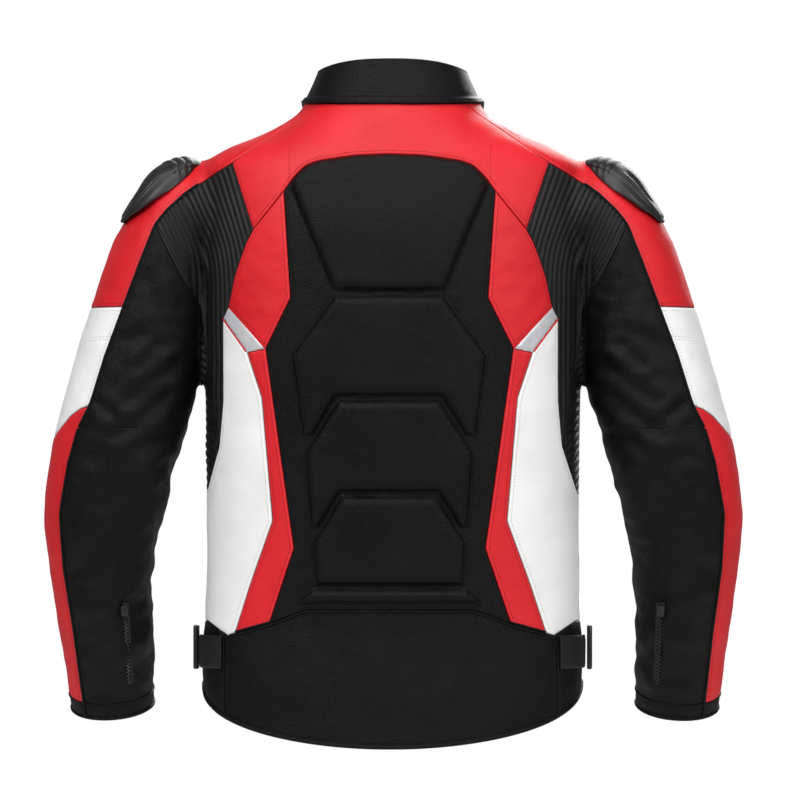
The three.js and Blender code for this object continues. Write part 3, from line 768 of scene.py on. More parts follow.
def build_panel(name, label, sides, seed):
    """One leather panel with its relief, on one side or across the centre."""
    slot, wave, amount, extra, joined, finer = PANELS[name]
    co, faces = half_panels[name]
    if sides == "both":
        left = co * (-1, 1, 1)
        co_all = np.concatenate([co, left])
        faces_all = faces + [[i + len(co) for i in reversed(face)] for face in faces]
    elif sides == "left":
        co_all = co * (-1, 1, 1)
        faces_all = [list(reversed(face)) for face in faces]
    else:
        co_all, faces_all = co, faces
    obj = mesh_object(label, co_all * MM, faces_all)
    if sides == "both":
        work = bmesh.new()
        work.from_mesh(obj.data)
        middle = [vert for vert in work.verts if abs(vert.co.x) < 1e-5]
        bmesh.ops.remove_doubles(work, verts=middle, dist=2e-5)
        work.to_mesh(obj.data)
        work.free()
    if finer:
        made_finer(obj).boundary_smooth = "PRESERVE_CORNERS"
        evaluated(obj)
        obj.data.name = label
    mesh = obj.data
    co = numbers(mesh.vertices, "co", 3) / MM
    normal = numbers(mesh.vertex_normals, "vector", 3)
    co = snapped(mesh, co)
    mesh.vertices.foreach_set("co", (co * MM).ravel())
    seam = border_distance(obj, joined)
    near = np.clip(1 - seam / ROLL_WIDTH, 0, 1)
    height = -ROLL_DEPTH * (1 - np.sqrt(1 - near ** 2))
    calm = np.clip(seam / 12, 0.15, 1)
    height += calm * waves_relief(co, wave, amount, seed)
    mirrored = np.stack([abs(co[:, 0]), co[:, 1], co[:, 2]], 1)
    if extra == "pads":
        height += pads_relief(mirrored) * np.clip(seam / 6, 0, 1)
    if extra == "ribs":
        height += ribs_relief(mirrored) * np.clip(seam / 2.5, 0, 1)
    if extra == "folds":
        strength = 0.85 if sides == "left" else 1.0
        height += folds_relief(mirrored, strength) * np.clip(seam / 9, 0, 1)
    co += normal * height[:, None]
    mesh.vertices.foreach_set("co", (co * MM).ravel())
    mark = mesh.attributes.new("seam_distance", "FLOAT", "POINT")
    mark.data.foreach_set("value", np.minimum(seam, 30).astype(np.float32))
    turn_in_edges(obj)
    shade_smooth(mesh)
    FABRIC[label] = obj
    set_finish(obj, slot)
    return obj


seed = 1
for name in PANELS:
    if name in CENTRE_PANELS:
        build_panel(name, name + "_leather", "both", seed)
    else:
        build_panel(name, name + "_leather_R", "right", seed)
        build_panel(name, name + "_leather_L", "left", seed + 40)
    seed += 0 if name == "sleeve_under" else 1
print("fabric faces", sum(len(obj.data.polygons) for obj in FABRIC.values()))

# %% [markdown]
# ## Finding places on the leather
# Stitches and piping follow lines of the back view. A ray from behind or from the front
# finds where each place lies on the finished leather, relief and all.

# %% Rays onto the leather
THREAD_OF = {"red_leather": "red", "white_leather": "white"}
GRAZING = 0.12                   # leather turned this far aside takes no stitch
OWNER = []                       # for each face of the tree, the thread colour of its panel


def all_leather():
    """One search tree over every leather panel."""
    verts, faces = [], []
    for obj in FABRIC.values():
        OWNER.extend([THREAD_OF.get(obj["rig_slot"], "black")] * len(obj.data.polygons))
        first = len(verts)
        verts += [vert.co.copy() for vert in obj.data.vertices]
        faces += [[first + i for i in face.vertices] for face in obj.data.polygons]
    return BVHTree.FromPolygons(verts, faces)


LEATHER_TREE = all_leather()


def on_leather(x, z, side):
    """The leather's place and normal behind (-1) or ahead of (1) a point of the back view."""
    start = Vector((x * MM, side, z * MM))
    place, normal, index, gap = LEATHER_TREE.ray_cast(start, Vector((0, -side, 0)))
    if place is None or abs(normal.y) < GRAZING:
        return None
    return place, normal if normal.y * side > 0 else -normal, OWNER[index]


def along_line(line, step, offset=0.0):
    """Evenly spaced places along a polyline, moved sideways to its left by an offset."""
    out = []
    carry = step / 2
    for (ax, az), (bx, bz) in zip(line, line[1:]):
        length = math.hypot(bx - ax, bz - az)
        ux, uz = (bx - ax) / length, (bz - az) / length
        at = carry
        while at < length:
            out.append((ax + ux * at - uz * offset, az + uz * at + ux * offset))
            at += step
        carry = at - length
    return out


def zone(x, z):
    """The part of the jacket that a place in the back view belongs to."""
    if abs(x) < ARM_PLANE + 1:
        return "torso"
    end = "R" if x > 0 else "L"
    return ("sleeve_" if z > ELBOW else "forearm_") + end


def tube(name, path, radius, sides=8, closed=False):
    """A round cord along a path of points in metres."""
    path = np.array([tuple(p) for p in path])
    count = len(path)
    if closed:
        along = np.roll(path, -1, 0) - np.roll(path, 1, 0)
    else:
        along = np.gradient(path, axis=0)
    along /= np.linalg.norm(along, axis=1)[:, None] + 1e-12
    side = np.cross(along, (0.13, 0.31, 0.94))
    side /= np.linalg.norm(side, axis=1)[:, None] + 1e-12
    up = np.cross(side, along)
    turn = np.arange(sides) * 2 * math.pi / sides
    ring = side[:, None] * np.cos(turn)[None, :, None] + up[:, None] * np.sin(turn)[None, :, None]
    verts = (path[:, None] + ring * radius * MM).reshape(-1, 3)
    faces = ring_faces(count, sides)
    if closed:
        last = (count - 1) * sides
        faces += [(last + i, last + (i + 1) % sides, (i + 1) % sides, i) for i in range(sides)]
    else:
        faces.append(tuple(reversed(range(sides))))
        faces.append(tuple(range((count - 1) * sides, count * sides)))
    return mesh_object(name, verts, faces)


# %% [markdown]
# ## Stitches
# The seams are topstitched with thick thread in the colour of the leather. A stitch is a
# short spindle with few faces, because there are thousands. They are gathered by thread
# colour and by the part of the jacket that they lie on.

# %% Topstitch every seam
STITCH_PITCH, STITCH_LENGTH, STITCH_WIDTH = 3.4, 2.5, 0.42
SHORTEST, LONGEST = 1.5, 9       # a longer or shorter step jumps between layers
STITCHES = {}


def stitch(line, offset, side=-1):
    """A row of stitches beside a line, on the right half and mirrored on the left."""
    for mirror in (1, -1):
        places = along_line(line, STITCH_PITCH, offset)
        for (ax, az), (bx, bz) in zip(places, places[1:]):
            here, there = on_leather(ax * mirror, az, side), on_leather(bx * mirror, bz, side)
            if here is None or there is None:
                continue
            along = there[0] - here[0]
            if not SHORTEST * MM < along.length < LONGEST * MM:
                continue
            key = (zone(ax * mirror, az), here[2])
            place = here[0] + here[1] * 0.15 * MM
            STITCHES.setdefault(key, []).append((place, along.normalized(), here[1]))


def stitched_mesh(name, rows):
    """One mesh of many spindle-shaped stitches."""
    verts, faces = [], []
    shape = [(0, 1, 2), (0, 2, 3), (0, 3, 4), (0, 4, 1), (5, 2, 1), (5, 3, 2), (5, 4, 3), (5, 1, 4)]
    for place, along, normal in rows:
        across = along.cross(normal).normalized() * STITCH_WIDTH * MM
        up = normal * STITCH_WIDTH * MM
        half = along * STITCH_LENGTH * MM / 2
        first = len(verts)
        verts += [place - half, place + across, place + up, place - across, place - up, place + half]
        faces += [tuple(first + i for i in face) for face in shape]
    return mesh_object(name, verts, faces)


TOP, WELT_GAP = 3.4, 3.6         # a topstitch lies this far from a seam, and from the welt
HEM_BAND = [(0, -629), (83, -622), (128, -612), (166, -598), (184, -584)]
BAND_TUCK = [(278, -233), (300, -235), (325, -242)]
FRONT_EDGE = [(6, -60), (6, -575)]
BACK_ROWS = [                    # line and offset of each row on the back
    (CENTRE_TOP, TOP), (SHOULDER_SEAM[1:], TOP), (YOKE_SIDE, -TOP), (YOKE_BLADE, -TOP),
    (BLADE_INNER, TOP), (BLADE_OUTER, -TOP), ([BLADE_END, BLADE_TIP], -TOP),
    (STRIPE_OUTER, -TOP), (STRIPE_INNER, TOP), (STRETCH_SIDE, -TOP), (STRIPE_OUTER, TOP),
    ([STRIPE_TOP, INSERT_END], -TOP), (BAND_TOP[:5], -TOP - 2), (BAND_TOP[:4], -TOP - 6),
    (BAND_END, -TOP), (BAND_END, TOP), (HEM_BAND, 0), (HEM_BAND, -3),
    ([(85, -510), (62, -563), (53, -612)], 0), ([(112, -220), (97, -253), (93, -300)], 0),
    (WELT[:9], WELT_GAP), (WELT[9:], WELT_GAP), (WELT, -WELT_GAP),
    (BAND_LINE, TOP), (BAND_LINE, -TOP), (BAND_TUCK, 0), (BAND_TUCK, -3),
    ([(242, -103), (236, -120)], 0), ([(165, -47), (157, -60)], 0), ([(244, -104), (238, -121)], 0),
    ([(224, -196), (227, -218), (236, -243), (241, -288), (255, -323)], 0),
    ([(277, -301), (256, -326)], 0), ([(273, -326), (277, -352), (281, -390), (286, -396)], 0),
    ([(296, -443), (302, -450), (312, -456), (326, -456)], 0),
    ([p for p in PADS[0] if p[0] >= 0], 2.5), (PADS[1], -2.5), (PADS[2], -2.5), (PADS[3], -2.5),
]
FRONT_ROWS = [
    (FRONT_YOKE, TOP), (FRONT_SIDE, TOP), (FRONT_SIDE, -TOP), (FRONT_EDGE, TOP), (FRONT_EDGE, 3 * TOP),
    (FRONT_BAND, -TOP), (WELT, WELT_GAP), (BAND_LINE, TOP),
]
for line, offset in BACK_ROWS:
    stitch(line, offset)
for line, offset in FRONT_ROWS:
    stitch(line, offset, side=1)
THREADS = {}
for (part, colour), rows in STITCHES.items():
    THREADS[(part, colour)] = stitched_mesh("stitches_" + colour + "_" + part, rows)
    print("stitches", part, colour, len(rows))

# %% [markdown]
# ## Piping
# Where black leather meets a coloured panel on the sleeve, a thin rolled cord of leather is
# sewn into the seam. The reflective insert has fine red piping and the waistband a double
# black one.

# %% Piping, hem roll and cuff rolls
PIPING = []
PIPING_LIFT = 0.35               # share of its radius that a cord stands above the leather


def add_piping(cord, slot, part):
    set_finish(cord, slot)
    PIPING.append((cord, part))


def piping(name, line, radius, slot, side=-1, offset=0.0):
    """Cords along a line of the back view, one for each part of the jacket that it crosses."""
    for mirror in (1, -1):
        runs = {}
        for x, z in along_line(line, 2.5, offset):
            found = on_leather(x * mirror, z, side)
            if found is not None:
                place = found[0] + found[1] * radius * PIPING_LIFT * MM
                runs.setdefault(zone(x * mirror, z), []).append(place)
        for part, path in runs.items():
            if len(path) < 4:
                continue
            path = np.array([tuple(p) for p in path])
            for i in range(3):
                path[1:-1] = (path[:-2] + 2 * path[1:-1] + path[2:]) / 4
            where = "R" if mirror > 0 else "L"
            add_piping(tube(f"{name}_{part}_{where}", path, radius), slot, part)


piping("sleeve_welt_back", WELT, 1.5, "black_leather")
piping("sleeve_welt_front", WELT, 1.5, "black_leather", side=1)
piping("insert_piping_upper", [BLADE_END, BLADE_TIP], 0.8, "red_leather")
piping("insert_piping_lower", [STRIPE_TOP, INSERT_END], 0.8, "red_leather")
piping("band_piping_upper", BAND_TOP[:4], 1.2, "black_leather", offset=0.6)
piping("band_piping_lower", BAND_TOP[:4], 1.2, "black_leather", offset=-2.6)


def ring_path(row, grow, sides, skip_front=0.0):
    """Points in metres round the edge of the neck or the hem."""
    angle = np.linspace(-math.pi + skip_front, math.pi - skip_front, sides)
    x, y = oval(angle, row[1] + grow, row[2] + grow, row[5] + grow)
    z = edge_level(y * row[5] / (row[5] + grow), row)
    return np.stack([x, y, z], 1) * MM


hem_path = ring_path(TORSO[-1], -0.6, 260, skip_front=0.045)
add_piping(tube("hem_roll", hem_path, 2.3), "black_leather", "torso")
CUFF_CORDS = [                   # name, growth, place along the sleeve, radius
    ("cuff_roll_", -0.8, 0, 1.9), ("cuff_seam_cord_", 0.6, -CUFF_HEIGHT, 1.1),
]
cuff_turn = np.linspace(0, 2 * math.pi, 90, endpoint=False)
for mirror, end in ((1, "R"), (-1, "L")):
    for name, grow, further, radius in CUFF_CORDS:
        ring = sleeve_ring(sleeve_rows, len(sleeve_rows) - 1, cuff_turn, grow, further)
        cord = tube(name + end, ring * (mirror, 1, 1) * MM, radius, closed=True)
        add_piping(cord, "black_leather", "forearm_" + end)

# %% [markdown]
# ## The collar
# The stand collar is one bent strip: a section with a small foot at the neck seam, a wall
# that leans inwards and a bound top edge, swept round the neck. It is lower at the sides.

# %% Collar, its binding and its tab
NECK = TORSO[0]
COLLAR_SECTION = [               # how far out from the neck edge, how far up
    (4.5, -5.0), (4.3, -1.0), (3.4, 2.6), (1.4, 4.4), (-0.4, 5.4), (-0.9, 8.0), (-2.6, 14.0),
    (-4.6, 21.0), (-6.6, 29.0), (-8.6, 37.0), (-10.0, 43.0), (-10.8, 46.0), (-12.6, 47.6),
    (-14.6, 46.6), (-14.9, 42.0), (-13.0, 34.0), (-11.0, 25.0), (-8.6, 15.0), (-6.0, 5.0),
    (-3.8, -3.0),
]
COLLAR_GAP = 0.05                # angle left open at each side of the front zip


def collar_points(angle, out, up):
    """Points of the collar's section at angles round the neck."""
    x, y = oval(angle, NECK[1] + out, NECK[2] + out, NECK[5] + out)
    level = edge_level(y * NECK[2] / (NECK[2] + out), NECK)
    behind = np.clip(-y / NECK[2], 0, 1) ** 2
    ahead = np.clip(y / NECK[5], 0, 1) ** 2
    height = np.clip(0.58 + 0.42 * behind + 0.25 * ahead, 0, 1)
    return np.stack([x, y, level + up * (height if up > 0 else 1)], 1)


collar_angles = np.linspace(-math.pi + COLLAR_GAP, math.pi - COLLAR_GAP, 260)
sections = np.stack([collar_points(collar_angles, out, up) for out, up in COLLAR_SECTION], 1)
wide = len(COLLAR_SECTION)
collar_co = sections.reshape(-1, 3)
collar_faces = ring_faces(len(collar_angles), wide)
collar_faces.append(tuple(reversed(range(wide))))
collar_faces.append(tuple(range(len(collar_co) - wide, len(collar_co))))
collar_co += np.array([(0, 1, 0)]) * waves_relief(collar_co, 34, 0.9, 77)[:, None]
collar = mesh_object("collar_leather", collar_co * MM, collar_faces)
made_finer(collar)
evaluated(collar)
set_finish(collar, "black_leather")
binding = tube("collar_binding", collar_points(collar_angles, -12.8, 46.4) * MM, 2.1, 10)
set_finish(binding, "black_leather")
foot_cord = tube("collar_foot_cord", collar_points(collar_angles, 4.2, -1.6) * MM, 1.3, 8)
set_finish(foot_cord, "black_leather")


def modelled_block(name, size, bevel, segments=3):
    """A block in millimetres with rounded edges, its middle at the origin."""
    bpy.ops.mesh.primitive_cube_add(size=1)
    made = bpy.context.active_object
    made.name = name
    made.data.name = name
    made.scale = [s * MM for s in size]
    bpy.ops.object.transform_apply(location=False, rotation=False, scale=True)
    bpy.ops.object.mode_set(mode="EDIT")
    bpy.ops.mesh.select_all(action="SELECT")
    bpy.ops.mesh.bevel(offset=bevel * MM, segments=segments, affect="EDGES")
    bpy.ops.object.mode_set(mode="OBJECT")
    bpy.ops.object.shade_smooth()
    return made


def place_on(obj, middle, along, out):
    """Turns an object so that its Z runs along and its Y faces out, and moves it to its place."""
    along, out = Vector(along).normalized(), Vector(out).normalized()
    across = out.cross(along).normalized()
    out = along.cross(across)
    turn = Matrix((across, out, along)).transposed().to_4x4()
    obj.data.transform(Matrix.Translation(Vector(middle) * MM) @ turn)
    return obj


def join(name, objects):
    """Several objects as one."""
    select_only(*objects)
    bpy.ops.object.join()
    objects[0].name = name
    objects[0].data.name = name
    return objects[0]


def edit_broad_faces(obj, axis, least_area):
    """Opens an object for editing with its large faces across one axis selected."""
    select_only(obj)
    bpy.ops.object.mode_set(mode="EDIT")
    work = bmesh.from_edit_mesh(obj.data)
    for face in work.faces:
        face.select = abs(face.normal[axis]) > 0.99 and face.calc_area() > least_area * MM * MM
    bmesh.update_edit_mesh(obj.data)


def middle_of(node):
    low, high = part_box(node)
    return (low + high) / 2 / MM


TAB_LEAN = 0.375                 # the front of the collar leans back this much
tab_body = modelled_block("collar_tab_leather", (34, 3.0, 17), 1.3, 4)
place_on(tab_body, middle_of("collar_tab"), (0, TAB_LEAN, -1), (0, 1, TAB_LEAN))
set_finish(tab_body, "black_leather")
print("collar", len(collar.data.polygons))

# %% [markdown]
# ## Inside: lining, hanger and foam
# The lining follows the body a few millimetres inside the leather. The foam protectors are
# soft pads, rounded copies of the space that the frame keeps for them.

# %% Lining, hanger loop and foam pads
LINING_INSET, LINING_THICK = -5.9, 0.9
ARM_ROWS, HOLE_MARGIN = 60, 3    # rows of the sleeve that reach the lining, and slack round them
FRONT_OPENING = 14               # the lining stops this far from the front zip


def inside_arm_hole(p):
    """Whether a place of the lining lies where a sleeve opens."""
    x = abs(p[0])
    for row in sleeve_rows[:ARM_ROWS]:
        across = (x - row[0]) / (row[3] + HOLE_MARGIN)
        deep = (p[1] - row[1]) / (row[4] + HOLE_MARGIN)
        if abs(row[2] - p[2]) < 8 and math.hypot(across, deep) < 1:
            return True
    return False


lining_rings = [torso_ring(row, TURN, LINING_INSET) for row in torso_rows]
lining_rings[-1] = torso_ring(torso_rows[-1], TURN, LINING_INSET, lift=4)
lining_co = np.concatenate(lining_rings)
lining_faces = []
for face in ring_faces(len(lining_rings), len(TURN)):
    centre = lining_co[list(face)].mean(0)
    if centre[1] > 0 and abs(centre[0]) < FRONT_OPENING:
        continue
    if inside_arm_hole(centre):
        continue
    lining_faces.append(face)
lining = mesh_object("lining_cloth", lining_co * MM, lining_faces)
select_only(lining)
bpy.ops.object.mode_set(mode="EDIT")
bpy.ops.mesh.select_all(action="SELECT")
bpy.ops.mesh.delete_loose()
bpy.ops.object.mode_set(mode="OBJECT")
thicken = lining.modifiers.new("thicken", "SOLIDIFY")
thicken.thickness = LINING_THICK * MM
evaluated(lining)
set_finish(lining, "lining_mesh")


def foam_pad(node):
    """A soft pad in the space of a frame node."""
    pad = bpy.data.objects.new(node + "_foam", frame["nodes"][node].data.copy())
    scene.collection.objects.link(pad)
    pad.data.materials.clear()
    melted(pad, 3.0 * MM, 6)
    evaluated(pad)
    pad.data.name = pad.name
    shade_smooth(pad.data)
    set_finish(pad, "foam")
    return pad


PAD_NODES = ("back_protector", "shoulder_pad_R", "shoulder_pad_L", "elbow_pad_R", "elbow_pad_L")
FOAM = {node: foam_pad(node) for node in PAD_NODES}
LOOP_RADIUS = 11
loop_middle = middle_of("hanger_loop")
loop_turn = np.linspace(0, 2 * math.pi, 40, endpoint=False)
loop_round = [np.cos(loop_turn), np.zeros(len(loop_turn)), np.sin(loop_turn)]
loop_path = np.array(loop_middle) + LOOP_RADIUS * np.stack(loop_round, 1)
hanger = tube("hanger_loop_cord", loop_path * MM, 1.7, 10, closed=True)
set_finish(hanger, "webbing")

# %% [markdown]
# ## Shoulder armour
# Each shoulder carries a moulded slider: a stepped flange with a domed shell over it. The
# shell has curved ridges at its inner end and an oblong vent at the back and at the front.

# %% Shoulder armour
ARMOUR_TOP = [(191, -61.5), (200, -57.5), (212, -57), (224, -60.5), (236, -67), (246, -77),
              (254, -90), (262, -102), (268, -112), (271, -119)]
ARMOUR_FOOT = [(196, -66), (202, -71), (209, -77), (216, -83), (223, -88), (231, -93),
               (240, -99), (250, -106), (260, -112), (269, -119.5)]
ARMOUR_REACH = [20, 30, 37, 42, 46, 48, 48, 45, 38, 26]


def smoothed(table, count):
    """A table as many evenly numbered smooth rows."""
    rows = between(table, 12)
    given = np.arange(len(rows))
    wanted = np.linspace(0, len(rows) - 1, count)
    return np.stack([np.interp(wanted, given, column) for column in rows.T], 1)


def bump(value, middle, width):
    """A flat-topped rise of height 1 round a middle."""
    return np.exp(-((value - middle) / width) ** 4)


def armour_shell(name, mirror, margin, lift, detail):
    """A dome between the armour's foot line and its top line, for one shoulder."""
    rows, turns = 96, 96
    top, foot = smoothed(ARMOUR_TOP, rows), smoothed(ARMOUR_FOOT, rows)
    reach = smoothed([[r] for r in ARMOUR_REACH], rows)[:, 0] + margin
    phi = np.linspace(-math.pi / 2, math.pi / 2, turns)
    share = np.linspace(0, 1, rows)[:, None]
    round_up = np.cos(phi)[None, :] ** 0.8
    push = lift + np.zeros((rows, turns))
    if detail:
        bent = share + 0.10 * abs(np.sin(phi))[None, :]
        for middle in (0.20, 0.28, 0.36):
            push += 1.1 * bump(bent, middle, 0.026)
        for side in (-1, 1):
            along_vent = bump(share, 0.60, 0.15)
            push -= 2.4 * along_vent * bump(phi[None, :] * side, 0.72, 0.12)
            push += 0.9 * bump(share, 0.60, 0.21) * bump(phi[None, :] * side, 0.97, 0.06)
        push -= 1.6 * np.clip((abs(phi)[None, :] - 1.12) / 0.08, 0, 1)
        push -= 1.2 * np.clip((share - 0.90) / 0.04, 0, 1)
    away = top - foot
    away_length = np.linalg.norm(away, axis=1)[:, None]
    away_unit = away / np.maximum(away_length, 1e-6)
    height = (away_length * round_up + push * np.cos(phi * 0.8)[None, :])
    x = foot[:, :1] + away_unit[:, :1] * height
    z = foot[:, 1:] + away_unit[:, 1:] * height
    y = np.sin(phi)[None, :] * (reach[:, None] + push)
    co = np.stack([x * mirror, y, z], 2).reshape(-1, 3)
    faces = ring_faces(rows, turns, closed=False)
    if mirror < 0:
        faces = [tuple(reversed(face)) for face in faces]
    shell = mesh_object(name, co * MM, faces)
    wall = shell.modifiers.new("wall", "SOLIDIFY")
    wall.thickness = 2.2 * MM
    wall.offset = 0
    edge = shell.modifiers.new("edge", "BEVEL")
    edge.width = 0.7 * MM
    edge.segments = 2
    evaluated(shell)
    shade_smooth(shell.data)
    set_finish(shell, "armour_plastic")
    return shell


ARMOUR = {}
for mirror, end in ((1, "R"), (-1, "L")):
    ARMOUR["cap_" + end] = armour_shell("shoulder_armour_shell_" + end, mirror, 0, 1.5, True)
    ARMOUR["base_" + end] = armour_shell("shoulder_armour_flange_" + end, mirror, 3.0, -2.2, False)

# %% [markdown]
# ## Zips
# A coarse moulded zip closes the front, finer ones the pockets and the cuffs. One tooth is
# modelled and repeated along each chain, every second one on the other side.

# %% Zip chains, sliders and pull
TOOTH = modelled_block("tooth", (3.4, 2.2, 1.5), 0.35, 1)
TOOTH_CHAIN = 5.2                # the chain width that the modelled tooth fits


def zip_chain(name, start, end, out, width, pitch, tape):
    """Teeth and tape from start to end, in millimetres."""
    start, end, out = Vector(start), Vector(end), Vector(out).normalized()
    along = (end - start).normalized()
    across = out.cross(along).normalized()
    turn = Matrix((across, out, along)).transposed()
    shape = np.array([turn @ vert.co for vert in TOOTH.data.vertices]) * (width / TOOTH_CHAIN)
    tooth_faces = [tuple(face.vertices) for face in TOOTH.data.polygons]
    verts, faces = [], []
    for i in range(int((end - start).length / pitch)):
        side = across * (width * 0.16 if i % 2 else -width * 0.16)
        middle = np.array(start + along * (i + 0.5) * pitch + side) * MM
        first = len(verts)
        verts += list(shape + middle)
        faces += [tuple(first + k for k in face) for face in tooth_faces]
    teeth = mesh_object(name + "_teeth", verts, faces, smooth=False)
    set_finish(teeth, "zip_metal")
    strip = modelled_block(name + "_tape", (tape, 1.0, (end - start).length), 0.3, 1)
    place_on(strip, (start + end) / 2 - out * 1.6, along, out)
    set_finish(strip, "webbing")
    return [teeth, strip]


def zip_slider(name, node, along, out, size):
    """A slider body with a raised bridge for its pull."""
    width, thick, length = size
    body = modelled_block(name + "_body", (width, thick * 0.7, length), thick * 0.25)
    bridge = modelled_block(name + "_bridge", (width * 0.34, thick * 0.8, length * 0.62), thick * 0.2)
    bridge.data.transform(Matrix.Translation((0, thick * 0.45 * MM, 0)))
    made = join(name, [body, bridge])
    place_on(made, middle_of(node), along, out)
    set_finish(made, "zip_metal")
    return made


FRONT_ALONG = Vector((0, 0.05392, -0.99855))
FRONT_OUT = Vector((0, 0.99855, 0.05392))
FRONT_LENGTH = 448.6
front_top = Vector((0, 91.5, ZIP_TOP))
front_end = front_top + FRONT_ALONG * FRONT_LENGTH
ZIPS = {"front_zip": zip_chain("front_zip", front_top, front_end, FRONT_OUT, 6.4, 2.6, 22)}
POCKET = (Vector((62, 102.4, -305)), Vector((98, 102.2, -430)))
CUFF_ZIP = (Vector((268, -13.4, -500)), Vector((265, 23.6, -582)))
SLIDERS = {}
SIDE_ZIPS = [(POCKET, "pocket", Vector((0, 1, 0))), (CUFF_ZIP, "cuff", Vector((0, -0.916, -0.399)))]
for mirror, end in ((1, "R"), (-1, "L")):
    for place, kind, out in SIDE_ZIPS:
        start, stop = (p * Vector((mirror, 1, 1)) for p in place)
        ZIPS[f"{kind}_zip_{end}"] = zip_chain(f"{kind}_zip_{end}", start, stop, out, 4.6, 2.0, 9)
        slider = f"{kind}_slider_{end}"
        SLIDERS[slider] = zip_slider(f"{kind}_zip_slider_{end}", slider, stop - start, out, (7, 3, 11))
SLIDERS["zip_slider"] = zip_slider("front_zip_slider", "zip_slider", FRONT_ALONG, FRONT_OUT, (10, 4, 13))
bpy.data.objects.remove(TOOTH)

pull = modelled_block("front_zip_pull", (7, 1.6, 30), 0.6)
edit_broad_faces(pull, 1, 50)
bpy.ops.mesh.inset(thickness=1.4 * MM, depth=-0.35 * MM)
bpy.ops.object.mode_set(mode="OBJECT")
place_on(pull, middle_of("zip_pull"), FRONT_ALONG, FRONT_OUT)
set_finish(pull, "zip_metal")

join_zip = modelled_block("trouser_zip_tape", (120, 2.2, 18), 0.6, 2)
place_on(join_zip, middle_of("trouser_zip") + Vector((0, -0.3, 0)), (0, 0, -1), (0, 1, 0))
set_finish(join_zip, "webbing")

# %% [markdown]
# ## Waist straps and loops
# A woven strap wraps each side of the waistband and runs to a stout rectangular loop.

# %% Waist adjusters
STRAP_LEVELS = (-531, -564)
STRAP_TURN = (1.02, 1.50)        # angles round the waistband that the strap covers
LOOP_SHIFT = (4.5, 13)           # how far outside and above its frame node the loop sits
STRAPS = {}
LOOPS = {}


def waist_strap(name, mirror):
    """A strap that follows the waistband round the side."""
    levels = np.linspace(*STRAP_LEVELS, 18)
    back_half, back_deep = 190.5, 114.0
    angle = np.linspace(*STRAP_TURN, 60)
    x, y = oval(angle, back_half, back_deep, back_deep)
    outer, inner = [], []
    for i, z in enumerate(levels):
        crown = 1.0 - abs(2 * i / (len(levels) - 1) - 1) ** 6
        for k in range(len(angle)):
            way = Vector((x[k] / back_half ** 2, y[k] / back_deep ** 2, 0)).normalized()
            wave = 0.35 * noise.noise(Vector((x[k] / 12, y[k] / 12, z / 9)))
            outer.append(Vector((x[k], y[k], z)) + way * (2.1 + 0.9 * crown + wave))
            inner.append(Vector((x[k], y[k], z)) + way * 0.9)
    count = len(outer)
    verts = [Vector((p.x * mirror, p.y, p.z)) * MM for p in outer + inner]
    faces = ring_faces(len(levels), len(angle), closed=False)
    faces += [tuple(count + i for i in reversed(face)) for face in faces]
    wide = len(angle)
    sides = [(i * wide + k, (i + 1) * wide + k) for i in range(len(levels) - 1) for k in (0, wide - 1)]
    sides += [(i * wide + k, i * wide + k + 1) for k in range(wide - 1) for i in (0, len(levels) - 1)]
    faces += [(a, b, b + count, a + count) for a, b in sides]
    strap = mesh_object(name, verts, faces)
    work = bmesh.new()
    work.from_mesh(strap.data)
    bmesh.ops.recalc_face_normals(work, faces=work.faces)
    work.to_mesh(strap.data)
    work.free()
    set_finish(strap, "webbing")
    return strap


def waist_loop(name, node, mirror):
    """A rectangular loop: a block with both broad faces inset and bridged into a hole."""
    made = modelled_block(name, (5.0, 32, 44), 1.6, 3)
    edit_broad_faces(made, 0, 400)
    bpy.ops.mesh.inset(thickness=4.2 * MM, depth=0)
    bpy.ops.mesh.bridge_edge_loops()
    bpy.ops.object.mode_set(mode="OBJECT")
    place = middle_of(node) + Vector((mirror * LOOP_SHIFT[0], 0, LOOP_SHIFT[1]))
    made.data.transform(Matrix.Translation(place * MM))
    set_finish(made, "loop_metal")
    return made


for mirror, end in ((1, "R"), (-1, "L")):
    STRAPS[end] = waist_strap("waist_strap_leather_" + end, mirror)
    LOOPS[end] = waist_loop("waist_loop_frame_" + end, "waist_loop_" + end, mirror)

# %% [markdown]
# ## Finishes
# Shared effects are node groups with named sockets: the pebbled grain of leather, the painted shade
# and painted highlight of a turned seam edge, and a woven thread pattern. Every colour is measured in
# linear light.

# %% Node groups
def node_group(name, inputs, outputs):
    group = bpy.data.node_groups.new(name, "ShaderNodeTree")
    for label, kind, value in inputs:
        socket = group.interface.new_socket(name=label, in_out="INPUT", socket_type="NodeSocket" + kind)
        socket.default_value = value
    for label, kind in outputs:
        group.interface.new_socket(name=label, in_out="OUTPUT", socket_type="NodeSocket" + kind)
    return group, group.nodes.new("NodeGroupInput"), group.nodes.new("NodeGroupOutput")


def maths(tree, kind, a, b=None, c=None, clamp=False):
    """A Math node; each value is a number or a socket."""
    node = tree.nodes.new("ShaderNodeMath")
    node.operation = kind
    node.use_clamp = clamp
    for i, value in enumerate((a, b, c)):
        if value is None:
            continue
        if isinstance(value, (int, float)):
            node.inputs[i].default_value = value
        else:
            tree.links.new(value, node.inputs[i])
    return node.outputs[0]


def texture(tree, kind, place, scale, **settings):
    """A texture node read at a place, with its scale in features per metre."""
    node = tree.nodes.new("ShaderNodeTex" + kind)
    tree.links.new(place, node.inputs["Vector"])
    if isinstance(scale, (int, float)):
        node.inputs["Scale"].default_value = scale
    else:
        tree.links.new(scale, node.inputs["Scale"])
    for key, value in settings.items():
        if key in node.inputs:
            node.inputs[key].default_value = value
        else:
            setattr(node, key, value)
    return node


